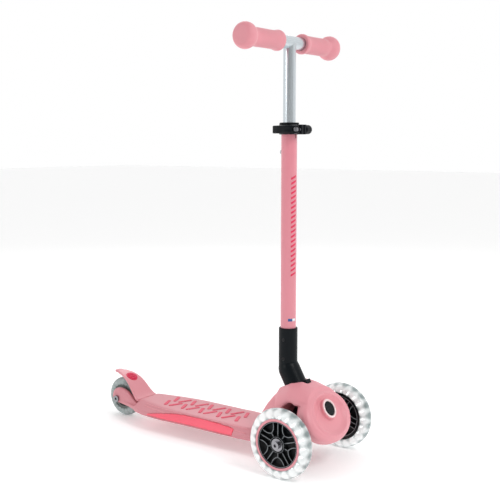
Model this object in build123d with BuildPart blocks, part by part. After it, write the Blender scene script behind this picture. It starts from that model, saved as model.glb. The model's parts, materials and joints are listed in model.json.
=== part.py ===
"""Three-wheeled lean-to-steer kick scooter for a small child, in millimetres.

The row frame has +X forward, +Y to the rider's left and +Z up. Its origin is on the floor, below the
middle of the scooter. The deck tilts about an inclined kingpin, and that turns the front axle carrier.
"""

import os
from math import cos, radians, sin

from build123d import *

# --- driving dimensions -------------------------------------------------------------------------
WHEELBASE = 462.0
TRACK = 200.0
FRONT_RADIUS, FRONT_WIDTH = 60.5, 24.0
REAR_RADIUS, REAR_WIDTH = 40.0, 22.0
COLUMN_SETBACK = 54.0
BAR_HEIGHT = 736.0
BAR_HALF_SPAN = 140.0
KINGPIN_RAKE = 30.0
DECK_BOTTOM, DECK_TOP = 29.0, 51.0

FIT = 0.05
SLACK = 0.3

# --- places worked out from them ----------------------------------------------------------------
FRONT_X = (WHEELBASE + REAR_RADIUS - FRONT_RADIUS) / 2
REAR_X = FRONT_X - WHEELBASE
COLUMN_X = FRONT_X - COLUMN_SETBACK
BUTTON = (FRONT_X + 35.2, 0, 103.5)
RAKE = Vector(cos(radians(KINGPIN_RAKE)), 0, sin(radians(KINGPIN_RAKE)))
# Local x is sideways, local y rises square to the kingpin, and local z runs forward along it.
STEER = Plane(origin=BUTTON, x_dir=(0, 1, 0), z_dir=RAKE)

# Distances along the kingpin, from the lock button's face, and across it.
NOSE_BACK, BLOCK_FRONT = -33.0, -71.0
AXLE_ALONG = -52.0
NECK_ALONG, NECK_SEAT, NECK_BEND = -46.2, 44.0, 98.7
SLOT_TOP = 37.0
HOUSING_HALF_WIDTH = 53.0

# Tubes, as radii.
BAR_R, BAR_BORE = 11.0, 9.5
TUBE_R, TUBE_BORE = 14.0, 12.5
NECK_R, SPIGOT_R = 16.9, 20.0
TUBE_FOOT, TUBE_TOP, NECK_TOP = 176.0, 597.0, 237.0
STEM_FOOT = 300.0
BUSH_FOOT, GUIDE_Z = 562.0, 548.0
HEIGHT_TRAVEL = 100.0

# Wheels.
AXLE_R = 4.0
BEARING_R, BEARING_WIDTH = 11.0, 7.0
CORE_R, RIM_R = 44.4, 38.0
REAR_CORE_R = 25.0
CARRIER_HALF = 86.0

# Height clamp.
CLAMP_Z, CLAMP_HALF = 587.0, 8.5
COLLAR_R = 18.0
SKEWER_X = COLUMN_X + 24.0
CAM_Y = -16.6

# Rear brake.
BRAKE_SETBACK = 403.0
BRAKE_PIVOT = (FRONT_X - BRAKE_SETBACK, 40.0)
BRAKE_PRESS = 2.5


def ahead(points):
    """Points given from the front axle, moved to the row frame."""
    return [(x + FRONT_X, z) for x, z in points]


def save(piece, name):
    piece.part.label = name
    export_step(piece.part, f"parts/{name}.step")


def plane_across(y):
    """A plane square to Y at this distance, with local x forward and local y up."""
    return Plane(origin=(0, y, 0), x_dir=(1, 0, 0), z_dir=(0, -1, 0))


def ring_y(x, z, y_low, y_high, outer, inner):
    """A plain ring about an axle that runs along Y."""
    with BuildPart() as ring:
        with BuildSketch(plane_across(y_high)):
            with Locations((x, z)):
                Circle(outer)
                Circle(inner, mode=Mode.SUBTRACT)
        extrude(amount=y_high - y_low)
    return ring.part


def ring_along(low, high, outer, inner):
    """A plain ring about the kingpin, between two distances along it."""
    with BuildPart() as ring:
        with BuildSketch(STEER.offset(low)):
            Circle(outer)
            if inner:
                Circle(inner, mode=Mode.SUBTRACT)
        extrude(amount=high - low)
    return ring.part


def coil(radius, wire, pitch, turns, plane):
    """A round-wire coil spring standing on a plane."""
    with BuildPart() as spring:
        with BuildLine():
            path = Helix(pitch=pitch, height=pitch * turns, radius=radius)
        with BuildSketch(Plane(origin=path @ 0, z_dir=path % 0)):
            Circle(wire)
        sweep(path=path.edge(), is_frenet=True)
    return plane.location * spring.part


os.makedirs("parts", exist_ok=True)

# --- deck ---------------------------------------------------------------------------------------
# Half of each outline, from the nose of the deck back to the hinge of the brake.
DECK_FOOT = ahead([(-100, 51), (-140, 54), (-238, 55), (-293, 57), (-341, 57), (-378, 51), (-399, 43)])
DECK_CROWN = ahead([(-100, 42), (-140, 45), (-238, 46), (-293, 44), (-341, 37), (-378, 29), (-399, 25)])
SHOULDER_Z = 38.0
ARM_INNER, ARM_OUTER = 15.0, 27.0
ARM = ahead(
    [
        (-385, 31), (-405, 29.5), (-434, 29.5), (-450, 31), (-462, 32.5), (-471, 36), (-476, 42.5),
        (-476, 52), (-470, 60), (-459, 63.5), (-446, 62.5), (-434, 58), (-424, 50.5), (-414, 43),
        (-404, 38), (-385, 38),
    ]
)
REAR_WEB = ahead([(-396, 44), (-412, 37), (-428, 31), (-446, 27), (-446, 15), (-396, 15)])
STRIP = ahead([(-367, 33), (-142, 32), (-140, 44), (-175, 46.5), (-220, 47.5), (-275, 46), (-325, 40)])
STRIP_INNER = 43.0
TONGUE_X, TONGUE_HALF, TONGUE_TOP = FRONT_X - 50.0, 34.0, 35.0
DECK_FRONT_X = FRONT_X - 100.0
DECK_SCREWS = [(FRONT_X - 64.0, 22.0), (FRONT_X - 88.0, 22.0)]


def deck_outline(half, plane):
    """A closed plan outline from its left half."""
    with BuildSketch(plane) as outline:
        with BuildLine():
            side = Spline(*half)
            Line((half[0][0], 0), side @ 0)
            Line(side @ 1, (half[-1][0], 0))
            mirror(about=Plane.XZ)
        make_face()
    return outline.sketch


def deck_body():
    """The deck's outer shape: a straight lower band under a crowned top."""
    with BuildPart() as body:
        add(deck_outline(DECK_FOOT, Plane.XY.offset(DECK_BOTTOM)))
        extrude(amount=SHOULDER_Z - DECK_BOTTOM)
    with BuildPart() as crown:
        add(deck_outline(DECK_FOOT, Plane.XY.offset(SHOULDER_Z)))
        add(deck_outline(DECK_CROWN, Plane.XY.offset(DECK_TOP)))
        loft(ruled=True)
    return body.part + crown.part


def strip_prism():
    """The lens outline of a side strip, cut straight through the deck's flank."""
    with BuildPart() as prism:
        with BuildSketch(plane_across(-STRIP_INNER)):
            with BuildLine():
                Polyline(*STRIP, close=True)
            make_face()
        extrude(amount=25)
    return prism.part


def pattern_bars(height):
    """Two files of slanted rounded bars that give the sole a hold."""
    with BuildPart() as bars:
        with BuildSketch(Plane.XY.offset(DECK_TOP - 1.0)):
            for column in range(9):
                slope = 1 if column % 2 else -1
                with Locations((FRONT_X - 158 - 22 * column, 0)):
                    with Locations((0, 14 * slope), (0, -14 * slope)):
                        SlotOverall(30, 6.5, rotation=90 - 24 * slope)
        extrude(amount=height)
    return bars.part


with BuildPart() as deck:
    add(deck_body())
    with BuildSketch(plane_across(ARM_OUTER)):
        with BuildLine():
            Polyline(*ARM, close=True)
        make_face()
    extrude(amount=ARM_OUTER - ARM_INNER)
    with BuildSketch(plane_across(-ARM_INNER)):
        with BuildLine():
            Polyline(*ARM, close=True)
        make_face()
    extrude(amount=ARM_OUTER - ARM_INNER)
    # Tongue under the front housing.
    with Locations(((TONGUE_X + DECK_FRONT_X) / 2 - 1, 0, (DECK_BOTTOM + TONGUE_TOP) / 2)):
        Box(TONGUE_X - DECK_FRONT_X + 2, 2 * TONGUE_HALF, TONGUE_TOP - DECK_BOTTOM)
    # Webs that run from the deck's rear corners into the wheel arms.
    for flank in (1, -1):
        with BuildSketch(Plane.XY.offset(DECK_BOTTOM + 1)):
            with BuildLine():
                Polyline(*[(x, y * flank) for x, y in REAR_WEB], close=True)
            make_face()
        extrude(amount=SHOULDER_Z - DECK_BOTTOM - 2)
    # Hollow underside, left as ribs.
    for cell in range(6):
        with Locations((FRONT_X - 133 - 40 * cell, 0, DECK_BOTTOM + 7.5)):
            with Locations((0, 18, 0), (0, -18, 0)):
                Box(36, 32 if cell < 5 else 26, 15, mode=Mode.SUBTRACT)
    # Side strips and grip bars sit in their own pockets.
    add(strip_prism(), mode=Mode.SUBTRACT)
    add(mirror(strip_prism(), about=Plane.XZ), mode=Mode.SUBTRACT)
    add(pattern_bars(3.0), mode=Mode.SUBTRACT)
    # Brake hinge notch with its pin bore, and the room that the wheel needs.
    with Locations((BRAKE_PIVOT[0] - 4.5, 0, BRAKE_PIVOT[1] + 3.5)):
        Box(20, 29, 24, mode=Mode.SUBTRACT)
    with Locations(Location((BRAKE_PIVOT[0], 0, BRAKE_PIVOT[1]), (90, 0, 0))):
        Cylinder(2.1, 44, mode=Mode.SUBTRACT)
    with Locations(Location((REAR_X, 0, REAR_RADIUS), (90, 0, 0))):
        Cylinder(REAR_RADIUS + 3.0, 2 * ARM_INNER, mode=Mode.SUBTRACT)
        Cylinder(AXLE_R + 0.1, 70, mode=Mode.SUBTRACT)
    for x, y in DECK_SCREWS:
        with Locations((x, y, DECK_BOTTOM), (x, -y, DECK_BOTTOM)):
            CounterBoreHole(2.6, 4.8, 3.0, depth=20)
save(deck, "deck")

with BuildPart() as side_strip_right:
    add(deck_body())
    add(strip_prism(), mode=Mode.INTERSECT)
save(side_strip_right, "side_strip_right")

with BuildPart() as side_strip_left:
    add(mirror(side_strip_right.part, about=Plane.XZ))
save(side_strip_left, "side_strip_left")

with BuildPart() as deck_grip_pattern:
    add(pattern_bars(1.8))
save(deck_grip_pattern, "deck_grip_pattern")

with BuildPart() as deck_screws:
    for x, y in DECK_SCREWS:
        for flank in (y, -y):
            with BuildSketch(Plane.XY.offset(DECK_BOTTOM + 0.2)):
                with Locations((x, flank)):
                    Circle(4.6)
                    RegularPolygon(2.0, 6, mode=Mode.SUBTRACT)
            extrude(amount=2.8)
            with BuildSketch(Plane.XY.offset(DECK_BOTTOM + 3.0)):
                with Locations((x, flank)):
                    Circle(2.5)
            extrude(amount=16)
save(deck_screws, "deck_screws")

# --- front housing ------------------------------------------------------------------------------
BUTTON_R, BUTTON_CAVITY = 12.9, -14.0
KINGPIN_R, HEAD_SEAT, KINGPIN_END = 5.0, -25.0, -97.0
# The nose is a wide oval cushion: its sections along the kingpin, as (along, half width, half height).
NOSE_DROP = 9.6
NOSE = [(NOSE_BACK, 63, 44.5), (-24, 66.8, 47.2), (-13, 67.3, 47.4), (-7.5, 64, 44.8), (-4.5, 58, 40.5)]
DISH = [(-4, 45.5, 36.5), (-8, 38, 29)]
LIP_R = 18.5
BLOCK = ahead(
    [
        (-99.7, DECK_BOTTOM), (-30, DECK_BOTTOM), (-11.4, 42.2), (-48.8, 107), (-58, 123.7),
        (-63.5, 117), (-69.5, 105), (-76, 91), (-83, 75), (-90, 63), (-99.7, 52),
    ]
)
# The bridge over the axle slot: half of each section across the kingpin, by distance along it.
BRIDGE = {
    BLOCK_FRONT: [(HOUSING_HALF_WIDTH, SLOT_TOP - 8), (50.5, 44), (41, 55), (30, 63), (22, 69.5)],
    -40: [(HOUSING_HALF_WIDTH, SLOT_TOP - 8), (50.5, 44), (41, 55), (30, 63), (20, 69.5)],
    -22: [(HOUSING_HALF_WIDTH, SLOT_TOP - 12), (49, 35), (39, 44), (28, 53), (12, 61)],
    -6: [(48, 10), (45, 22), (36, 32), (25, 38), (12, 42)],
}
SOCKET_PLANE = Plane(
    origin=STEER.from_local_coords(Vector(0, NECK_SEAT, NECK_ALONG)),
    x_dir=(0, 1, 0),
    z_dir=STEER.y_dir,
)
CATCH_BACK, CATCH_FRONT, CATCH_LOW, CATCH_HIGH, CATCH_HALF = -23.4, -18.0, 55.0, 62.5, 7.5

def oval(low, high):
    """A slice of the nose between two oval sections."""
    with BuildPart() as slice_:
        for distance, half_width, half_height in (low, high):
            with BuildSketch(STEER.offset(distance)):
                with Locations((0, -NOSE_DROP)):
                    Ellipse(half_width, half_height)
        loft(ruled=True)
    return slice_.part


with BuildPart() as front_housing:
    # Rear block, narrowing towards the neck.
    with BuildSketch(plane_across(HOUSING_HALF_WIDTH)):
        with BuildLine():
            Polyline(*BLOCK, close=True)
        make_face()
    extrude(amount=2 * HOUSING_HALF_WIDTH)
    with BuildSketch(Plane(origin=(FRONT_X, 0, 0), x_dir=(0, 1, 0), z_dir=(1, 0, 0))):
        with BuildLine():
            Polyline((-53, 0), (53, 0), (53, 84), (46, 103), (34, 117), (23, 127), (-23, 127),
                     (-34, 117), (-46, 103), (-53, 84), close=True)
        make_face()
    extrude(amount=-140, mode=Mode.INTERSECT)
    # Bridge from the block to the nose.
    for low, high in zip(BRIDGE, list(BRIDGE)[1:]):
        for distance in (low, high):
            with BuildSketch(STEER.offset(distance)):
                with BuildLine():
                    half = BRIDGE[distance]
                    Polyline(*half, *[(-y, rise) for y, rise in reversed(half)], close=True)
                make_face()
        loft(ruled=True)
    # Oval nose with a dished face and a raised lip about the lock button.
    for low, high in zip(NOSE, NOSE[1:]):
        add(oval(low, high))
    add(oval(*DISH), mode=Mode.SUBTRACT)
    add(ring_along(-12, -0.6, LIP_R, 0))
    # Slot for the axle carrier, open at both sides and below.
    with BuildSketch(Plane(origin=BUTTON, x_dir=RAKE, z_dir=(0, -1, 0))) as slot:
        with BuildLine():
            Polyline((NOSE_BACK, -75), (NOSE_BACK, SLOT_TOP), (BLOCK_FRONT, SLOT_TOP),
                     (BLOCK_FRONT, -75), close=True)
        make_face()
        fillet(slot.vertices().group_by(Axis.Y)[-1].sort_by(Axis.X)[-1], 10)
        fillet(slot.vertices().group_by(Axis.Y)[-1].sort_by(Axis.X)[0], 22)
    extrude(amount=70, both=True, mode=Mode.SUBTRACT)
    # Socket for the neck, kingpin bore with its nut pocket, and the seat of the lock button.
    with BuildSketch(SOCKET_PLANE):
        Circle(SPIGOT_R + 0.1)
    extrude(amount=60, mode=Mode.SUBTRACT)
    with BuildSketch(STEER.offset(5)):
        Circle(BUTTON_R + SLACK)
    extrude(amount=BUTTON_CAVITY - 5, mode=Mode.SUBTRACT)
    with BuildSketch(STEER.offset(BUTTON_CAVITY)):
        Circle(11)
    extrude(amount=HEAD_SEAT - BUTTON_CAVITY, mode=Mode.SUBTRACT)
    with BuildSketch(STEER.offset(5)):
        Circle(KINGPIN_R + 0.1)
    extrude(amount=-100, mode=Mode.SUBTRACT)
    with BuildSketch(STEER.offset(-88)):
        Circle(10)
    extrude(amount=-30, mode=Mode.SUBTRACT)
    # Pocket of the release catch.
    with BuildSketch(STEER.offset(CATCH_BACK - 4)):
        with Locations((0, (CATCH_LOW + CATCH_HIGH + 20) / 2)):
            Rectangle(2 * (CATCH_HALF + SLACK), CATCH_HIGH - CATCH_LOW + 20 + 2 * SLACK)
    extrude(amount=30, mode=Mode.SUBTRACT)
    # Recess for the deck's tongue, and holes for its screws.
    with Locations(((TONGUE_X + DECK_FRONT_X) / 2, 0, (DECK_BOTTOM + TONGUE_TOP) / 2)):
        Box(TONGUE_X - DECK_FRONT_X + 1, 2 * TONGUE_HALF + 0.4, TONGUE_TOP - DECK_BOTTOM + 0.2,
            mode=Mode.SUBTRACT)
    for x, y in DECK_SCREWS:
        with Locations((x, y, DECK_BOTTOM + 13), (x, -y, DECK_BOTTOM + 13)):
            Cylinder(2.6, 16, mode=Mode.SUBTRACT)
save(front_housing, "front_housing")

with BuildPart() as kingpin:
    add(ring_along(HEAD_SEAT, HEAD_SEAT + 6, 8.5, 0))
    add(ring_along(KINGPIN_END, HEAD_SEAT, KINGPIN_R, 0))
    with BuildSketch(STEER.offset(HEAD_SEAT + 6)):
        RegularPolygon(4.0, 6)
    extrude(amount=-4, mode=Mode.SUBTRACT)
save(kingpin, "kingpin")

with BuildPart() as kingpin_nut:
    with BuildSketch(STEER.offset(-88.2)):
        RegularPolygon(9.2, 6)
        Circle(KINGPIN_R + FIT, mode=Mode.SUBTRACT)
    extrude(amount=-7)
save(kingpin_nut, "kingpin_nut")

with BuildPart() as lock_spring:
    add(coil(10.2, 0.7, 2.1, 2.6, STEER.offset(-24.2)))
save(lock_spring, "lock_spring")

with BuildPart() as lock_button:
    add(ring_along(-5.0, 0.0, BUTTON_R, 0))
    add(ring_along(-9.5, -5.0, BUTTON_R, 10.5))
    chamfer(lock_button.edges().filter_by(GeomType.CIRCLE).group_by(SortBy.RADIUS)[-1]
            .sort_by(Axis(BUTTON, RAKE))[-1], 1.0)
    with BuildSketch(STEER):
        with Locations((0, 5), (0, 0), (0, -5)):
            SlotOverall(14, 1.4)
    extrude(amount=-0.6, mode=Mode.SUBTRACT)
save(lock_button, "lock_button")

with BuildPart() as release_catch:
    with BuildSketch(STEER.offset(CATCH_BACK)):
        with Locations((0, (CATCH_LOW + CATCH_HIGH) / 2)):
            Rectangle(2 * CATCH_HALF, CATCH_HIGH - CATCH_LOW)
    extrude(amount=CATCH_FRONT - CATCH_BACK)
    fillet(release_catch.faces().sort_by(Axis(BUTTON, RAKE))[-1].edges(), 1.5)
save(release_catch, "release_catch")

# --- axle carrier -------------------------------------------------------------------------------
AXLE = (FRONT_X, FRONT_RADIUS)
ARM_R = 12.0
BOLT_HEAD_Y = TRACK / 2 + 12.0
NUT_Y = 66.0

with BuildPart() as axle_carrier:
    add(ring_along(-68.0, -36.0, 20.0, 0))
    with BuildSketch(plane_across(CARRIER_HALF)):
        with Locations(AXLE):
            Circle(ARM_R)
    extrude(amount=2 * CARRIER_HALF)
    with BuildSketch(STEER.offset(AXLE_ALONG - 9)):
        with BuildLine():
            Polyline((-62, -24), (62, -24), (62, -16), (22, 6), (-22, 6), (-62, -16), close=True)
        make_face()
    extrude(amount=18)
    add(ring_along(-48.1, -35, 8.1, 0), mode=Mode.SUBTRACT)
    add(ring_along(-58, -48.1, 8.1, 0), mode=Mode.SUBTRACT)
    add(ring_along(-70, -58, 14.4, 0), mode=Mode.SUBTRACT)
    for side in (-1, 1):
        with Locations(Location((FRONT_X, side * 76, FRONT_RADIUS), (90, 0, 0))):
            Cylinder(AXLE_R + 0.1, 44, mode=Mode.SUBTRACT)
        with BuildSketch(plane_across(side * (NUT_Y + 3) + 3.1)):
            with Locations(AXLE):
                RegularPolygon(7.6, 6)
        extrude(amount=6.2, mode=Mode.SUBTRACT)
save(axle_carrier, "axle_carrier")

with BuildPart() as pivot_bushes:
    add(ring_along(-45, -36, 8.0, KINGPIN_R + FIT))
    add(ring_along(-57.5, -48.5, 8.0, KINGPIN_R + FIT))
save(pivot_bushes, "pivot_bushes")

with BuildPart() as centring_bush:
    add(ring_along(-70.5, -58.5, 14.0, KINGPIN_R + FIT))
save(centring_bush, "centring_bush")

with BuildPart() as axle_nuts:
    for side in (-1, 1):
        with BuildSketch(plane_across(side * (NUT_Y + 3) + 3)):
            with Locations(AXLE):
                RegularPolygon(7.5, 6)
                Circle(AXLE_R + FIT, mode=Mode.SUBTRACT)
        extrude(amount=6)
save(axle_nuts, "axle_nuts")

with BuildPart() as axle_washers:
    add(ring_y(*AXLE, CARRIER_HALF + 0.1, CARRIER_HALF + 2.1, 6.5, AXLE_R + FIT))
    add(ring_y(*AXLE, -CARRIER_HALF - 2.1, -CARRIER_HALF - 0.1, 6.5, AXLE_R + FIT))
save(axle_washers, "axle_washers")


def hex_bolt(x, z, head_y, end_y, radius, head_radius, head, socket, depth=3.0):
    """A socket-head bolt along Y: its head starts at head_y and its shank ends at end_y."""
    outward = 1 if head_y > end_y else -1
    tip = head_y + outward * head
    with BuildPart() as bolt:
        with BuildSketch(plane_across(max(head_y, end_y))):
            with Locations((x, z)):
                Circle(radius)
        extrude(amount=abs(head_y - end_y))
        with BuildSketch(plane_across(max(head_y, tip))):
            with Locations((x, z)):
                Circle(head_radius)
        extrude(amount=head)
        with BuildSketch(plane_across(tip)):
            with Locations((x, z)):
                RegularPolygon(socket, 6)
        extrude(amount=outward * depth, mode=Mode.SUBTRACT)
    return bolt.part


for side, name in ((-1, "right"), (1, "left")):
    with BuildPart() as axle_bolt:
        add(hex_bolt(*AXLE, side * BOLT_HEAD_Y, side * 60.0, AXLE_R, 6.8, 5.0, 3.2))
    save(axle_bolt, f"axle_bolt_{name}")

# --- front wheels -------------------------------------------------------------------------------
LIGHT_R, LIGHT_HALF = 46.8, 6.0
WEB_HALF, SPOKE_HALF, HUB_R = 2.0, 9.0, 14.5
SPOKES = 5

for side, name in ((-1, "right"), (1, "left")):
    middle = side * TRACK / 2
    with BuildPart() as tyre:
        with BuildSketch(Plane.XY.offset(FRONT_RADIUS)) as section:
            with Locations((FRONT_X + (CORE_R + FRONT_RADIUS) / 2, middle)):
                Rectangle(FRONT_RADIUS - CORE_R, FRONT_WIDTH)
            fillet(section.vertices().group_by(Axis.X)[-1], 9)
            fillet(section.vertices().group_by(Axis.X)[0], 1.5)
            with Locations((FRONT_X + CORE_R, middle)):
                Rectangle(2 * (LIGHT_R - CORE_R), 2 * LIGHT_HALF, mode=Mode.SUBTRACT)
        revolve(axis=Axis((FRONT_X, 0, FRONT_RADIUS), (0, 1, 0)))
    save(tyre, f"tyre_{name}")

    with BuildPart() as light_ring:
        add(ring_y(*AXLE, middle - 5.8, middle + 5.8, LIGHT_R - 0.1, CORE_R + 0.1))
    save(light_ring, f"light_ring_{name}")

    with BuildPart() as core:
        add(ring_y(*AXLE, middle - 10.5, middle + 10.5, CORE_R, RIM_R))
        add(ring_y(*AXLE, middle - WEB_HALF, middle + WEB_HALF, RIM_R + 1, HUB_R - 1))
        add(ring_y(*AXLE, middle - 12.0, middle + 12.0, HUB_R, BEARING_R))
        add(ring_y(*AXLE, middle - 4.0, middle + 4.0, HUB_R - 1, 9.0))
        with BuildSketch(plane_across(middle + SPOKE_HALF)):
            with Locations(AXLE):
                with PolarLocations(0, SPOKES):
                    with Locations((26, 0)):
                        Rectangle(25, 2.6)
                with PolarLocations(0, SPOKES, start_angle=180 / SPOKES):
                    with Locations((20, 0)):
                        Rectangle(14, 2.6)
                    with Locations(Location((32, 5.5), 40), Location((32, -5.5), -40)):
                        Rectangle(17, 2.6)
        extrude(amount=2 * SPOKE_HALF)
        # Seat of the pink trim ring, on the outer side.
        add(ring_y(*AXLE, middle + side * 9.25 - 1.35, middle + side * 9.25 + 1.35, CORE_R + 1, 40.0),
            mode=Mode.SUBTRACT)
    save(core, f"core_{name}")

    with BuildPart() as rim_ring:
        add(ring_y(*AXLE, middle + side * 9.6 - 1.6, middle + side * 9.6 + 1.6, CORE_R - 0.1, 40.1))
    save(rim_ring, f"rim_ring_{name}")

    with BuildPart() as bearings:
        for y in (-11.5, 4.5):
            add(ring_y(*AXLE, middle + y, middle + y + BEARING_WIDTH, BEARING_R - FIT, AXLE_R + FIT))
    save(bearings, f"bearings_{name}")

    with BuildPart() as spacer:
        add(ring_y(*AXLE, middle - 4.4, middle + 4.4, 6.5, AXLE_R + FIT))
    save(spacer, f"spacer_{name}")

# --- rear wheel ---------------------------------------------------------------------------------
REAR_AXLE = (REAR_X, REAR_RADIUS)

with BuildPart() as tyre_rear:
    with BuildSketch(Plane.XY.offset(REAR_RADIUS)) as section:
        with Locations((REAR_X + (REAR_CORE_R + REAR_RADIUS) / 2, 0)):
            Rectangle(REAR_RADIUS - REAR_CORE_R, REAR_WIDTH)
        fillet(section.vertices().group_by(Axis.X)[-1], 8)
    revolve(axis=Axis((REAR_X, 0, REAR_RADIUS), (0, 1, 0)))
save(tyre_rear, "tyre_rear")

with BuildPart() as core_rear:
    add(ring_y(*REAR_AXLE, -9.0, 9.0, REAR_CORE_R, 20.0))
    add(ring_y(*REAR_AXLE, -3.0, 3.0, 21.0, HUB_R - 1))
    add(ring_y(*REAR_AXLE, -11.0, 11.0, HUB_R, BEARING_R))
    add(ring_y(*REAR_AXLE, -3.5, 3.5, HUB_R - 1, 9.0))
save(core_rear, "core_rear")

with BuildPart() as bearings_rear:
    for y in (-11.0, 4.0):
        add(ring_y(*REAR_AXLE, y, y + BEARING_WIDTH, BEARING_R - FIT, AXLE_R + FIT))
save(bearings_rear, "bearings_rear")

with BuildPart() as spacer_rear:
    add(ring_y(*REAR_AXLE, -3.9, 3.9, 6.5, AXLE_R + FIT))
save(spacer_rear, "spacer_rear")

with BuildPart() as rear_spacers:
    add(ring_y(*REAR_AXLE, 11.3, ARM_INNER - 0.1, 6.5, AXLE_R + FIT))
    add(ring_y(*REAR_AXLE, 0.1 - ARM_INNER, -11.3, 6.5, AXLE_R + FIT))
save(rear_spacers, "rear_spacers")

with BuildPart() as rear_axle_bolt:
    add(hex_bolt(*REAR_AXLE, -ARM_OUTER - 0.2, ARM_OUTER + 6.5, AXLE_R, 6.5, 3.6, 2.9))
save(rear_axle_bolt, "rear_axle_bolt")

with BuildPart() as rear_axle_nut:
    with BuildSketch(plane_across(ARM_OUTER + 6.2)):
        with Locations(REAR_AXLE):
            RegularPolygon(7.4, 6)
            Circle(AXLE_R + FIT, mode=Mode.SUBTRACT)
    extrude(amount=6)
save(rear_axle_nut, "rear_axle_nut")

# --- rear brake ---------------------------------------------------------------------------------
BRAKE_TOP = ahead([(-400.8, 48.5), (-413, 55.5), (-425, 68), (-437, 79.5), (-452, 88), (-472, 92.5),
                   (-488, 93)])
BRAKE_UNDER = ahead([(-488, 89), (-472, 87.5), (-452, 82.5), (-437, 74), (-426, 63), (-418, 53.5),
                     (-410, 45), (-400.8, 43.5)])
BRAKE_PLAN = ahead([(-400.8, 26.5), (-415, 25.5), (-435, 21.5), (-455, 16), (-475, 10.5)])
BRAKE_TIP_X, BRAKE_TIP_R = FRONT_X - 480.0, 9.0
BADGE_PLANE = Plane(origin=(FRONT_X - 444.5, 0, 84.2), x_dir=(0, 1, 0), z_dir=(0.49, 0, 0.87))


def badge_bars(depth):
    """Three raised bars, the middle one longer."""
    with BuildPart() as bars:
        with BuildSketch(BADGE_PLANE.offset(-2.5)):
            for y, length in ((-6, 12), (0, 18), (6, 12)):
                with Locations((0, y)):
                    SlotOverall(length, 3.4)
        extrude(amount=depth)
    return bars.part


# The pad follows the tyre where the tyre would be if the brake were held still and fully pressed.
PAD_R, PAD_THICKNESS, PAD_HALF = REAR_RADIUS + 0.15, 1.5, 9.0
PAD_CENTRE = (
    BRAKE_PIVOT[0] - (WHEELBASE - BRAKE_SETBACK) * cos(radians(BRAKE_PRESS)),
    BRAKE_PIVOT[1] + (WHEELBASE - BRAKE_SETBACK) * sin(radians(BRAKE_PRESS)),
)


def pad_arc(half, outer, inner):
    """The part of a ring about the tyre that the brake's curved blade covers."""
    with BuildPart() as arc:
        add(ring_y(*PAD_CENTRE, -half, half, outer, inner))
        with BuildSketch(plane_across(half)):
            with BuildLine():
                Polyline(PAD_CENTRE, *[(PAD_CENTRE[0] + 90 * cos(radians(turn)),
                                        PAD_CENTRE[1] + 90 * sin(radians(turn)))
                                       for turn in (36, 54, 71)], close=True)
            make_face()
        extrude(amount=2 * half, mode=Mode.INTERSECT)
    return arc.part


with BuildPart() as brake:
    with BuildSketch(plane_across(27)):
        with BuildLine():
            upper = Spline(*BRAKE_TOP)
            lower = Spline(*BRAKE_UNDER)
            Line(upper @ 1, lower @ 0)
            Line(lower @ 1, upper @ 0)
        make_face()
    extrude(amount=54)
    with BuildSketch():
        with BuildLine():
            side = Spline(*BRAKE_PLAN)
            Line((BRAKE_PLAN[0][0], 0), side @ 0)
            Line(side @ 1, (BRAKE_PLAN[-1][0], 0))
            mirror(about=Plane.XZ)
        make_face()
        with Locations((BRAKE_TIP_X, 0)):
            Circle(BRAKE_TIP_R)
    extrude(amount=120, mode=Mode.INTERSECT)
    # Hinge barrel, between the deck's ears.
    with BuildSketch(plane_across(8)):
        with Locations(BRAKE_PIVOT):
            Circle(4.6)
        with BuildLine():
            Polyline((BRAKE_PIVOT[0] + 2.0, 40), (BRAKE_PIVOT[0] + 2.0, 45.5), (BRAKE_PIVOT[0] - 9, 47),
                     (BRAKE_PIVOT[0] - 4.4, 40), close=True)
        make_face()
    extrude(amount=16)
    with Locations(Location((BRAKE_PIVOT[0], 0, BRAKE_PIVOT[1]), (90, 0, 0))):
        Cylinder(2.0 + FIT, 60, mode=Mode.SUBTRACT)
    # Seat of the brake pad.
    add(pad_arc(PAD_HALF + 0.2, PAD_R + PAD_THICKNESS + 0.1, PAD_R - 8), mode=Mode.SUBTRACT)
    add(badge_bars(6.0), mode=Mode.SUBTRACT)
save(brake, "brake")

with BuildPart() as brake_badge:
    add(badge_bars(3.6))
save(brake_badge, "brake_badge")

with BuildPart() as brake_pad:
    add(pad_arc(PAD_HALF, PAD_R + PAD_THICKNESS, PAD_R))
save(brake_pad, "brake_pad")

with BuildPart() as brake_pivot_pin:
    with Locations(Location((BRAKE_PIVOT[0], 0, BRAKE_PIVOT[1]), (90, 0, 0))):
        Cylinder(2.0, 40)
save(brake_pivot_pin, "brake_pivot_pin")

# --- neck, tube and height clamp ----------------------------------------------------------------
BEND = STEER.from_local_coords(Vector(0, NECK_BEND, NECK_ALONG))
SCREW_HEIGHTS = (181.0, 216.0)
SPIGOT_RISE = NECK_BEND - NECK_SEAT - 6

with BuildPart() as neck:
    # Domed spigot.
    with BuildSketch(Plane(origin=SOCKET_PLANE.origin, x_dir=(0, 1, 0), z_dir=RAKE)):
        with BuildLine():
            Polyline((0, SPIGOT_RISE + SPIGOT_R), (0, 0), (SPIGOT_R, 0), (SPIGOT_R, SPIGOT_RISE))
            CenterArc((0, SPIGOT_RISE), SPIGOT_R, 0, 90)
        make_face()
    revolve(axis=Axis(SOCKET_PLANE.origin, SOCKET_PLANE.z_dir))
    with BuildSketch(Plane(origin=(COLUMN_X, 0, BEND.Z))):
        Circle(NECK_R)
    extrude(amount=NECK_TOP - BEND.Z)
    with BuildSketch(Plane(origin=(COLUMN_X, 0, TUBE_FOOT - 0.2))):
        Circle(TUBE_R + 0.1)
    extrude(amount=80, mode=Mode.SUBTRACT)
    for z in SCREW_HEIGHTS:
        with Locations(Location((COLUMN_X, -20, z), (90, 0, 0))):
            Cylinder(3.3, 10, mode=Mode.SUBTRACT)
            Cylinder(2.1, 30, mode=Mode.SUBTRACT)
save(neck, "neck")

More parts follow.
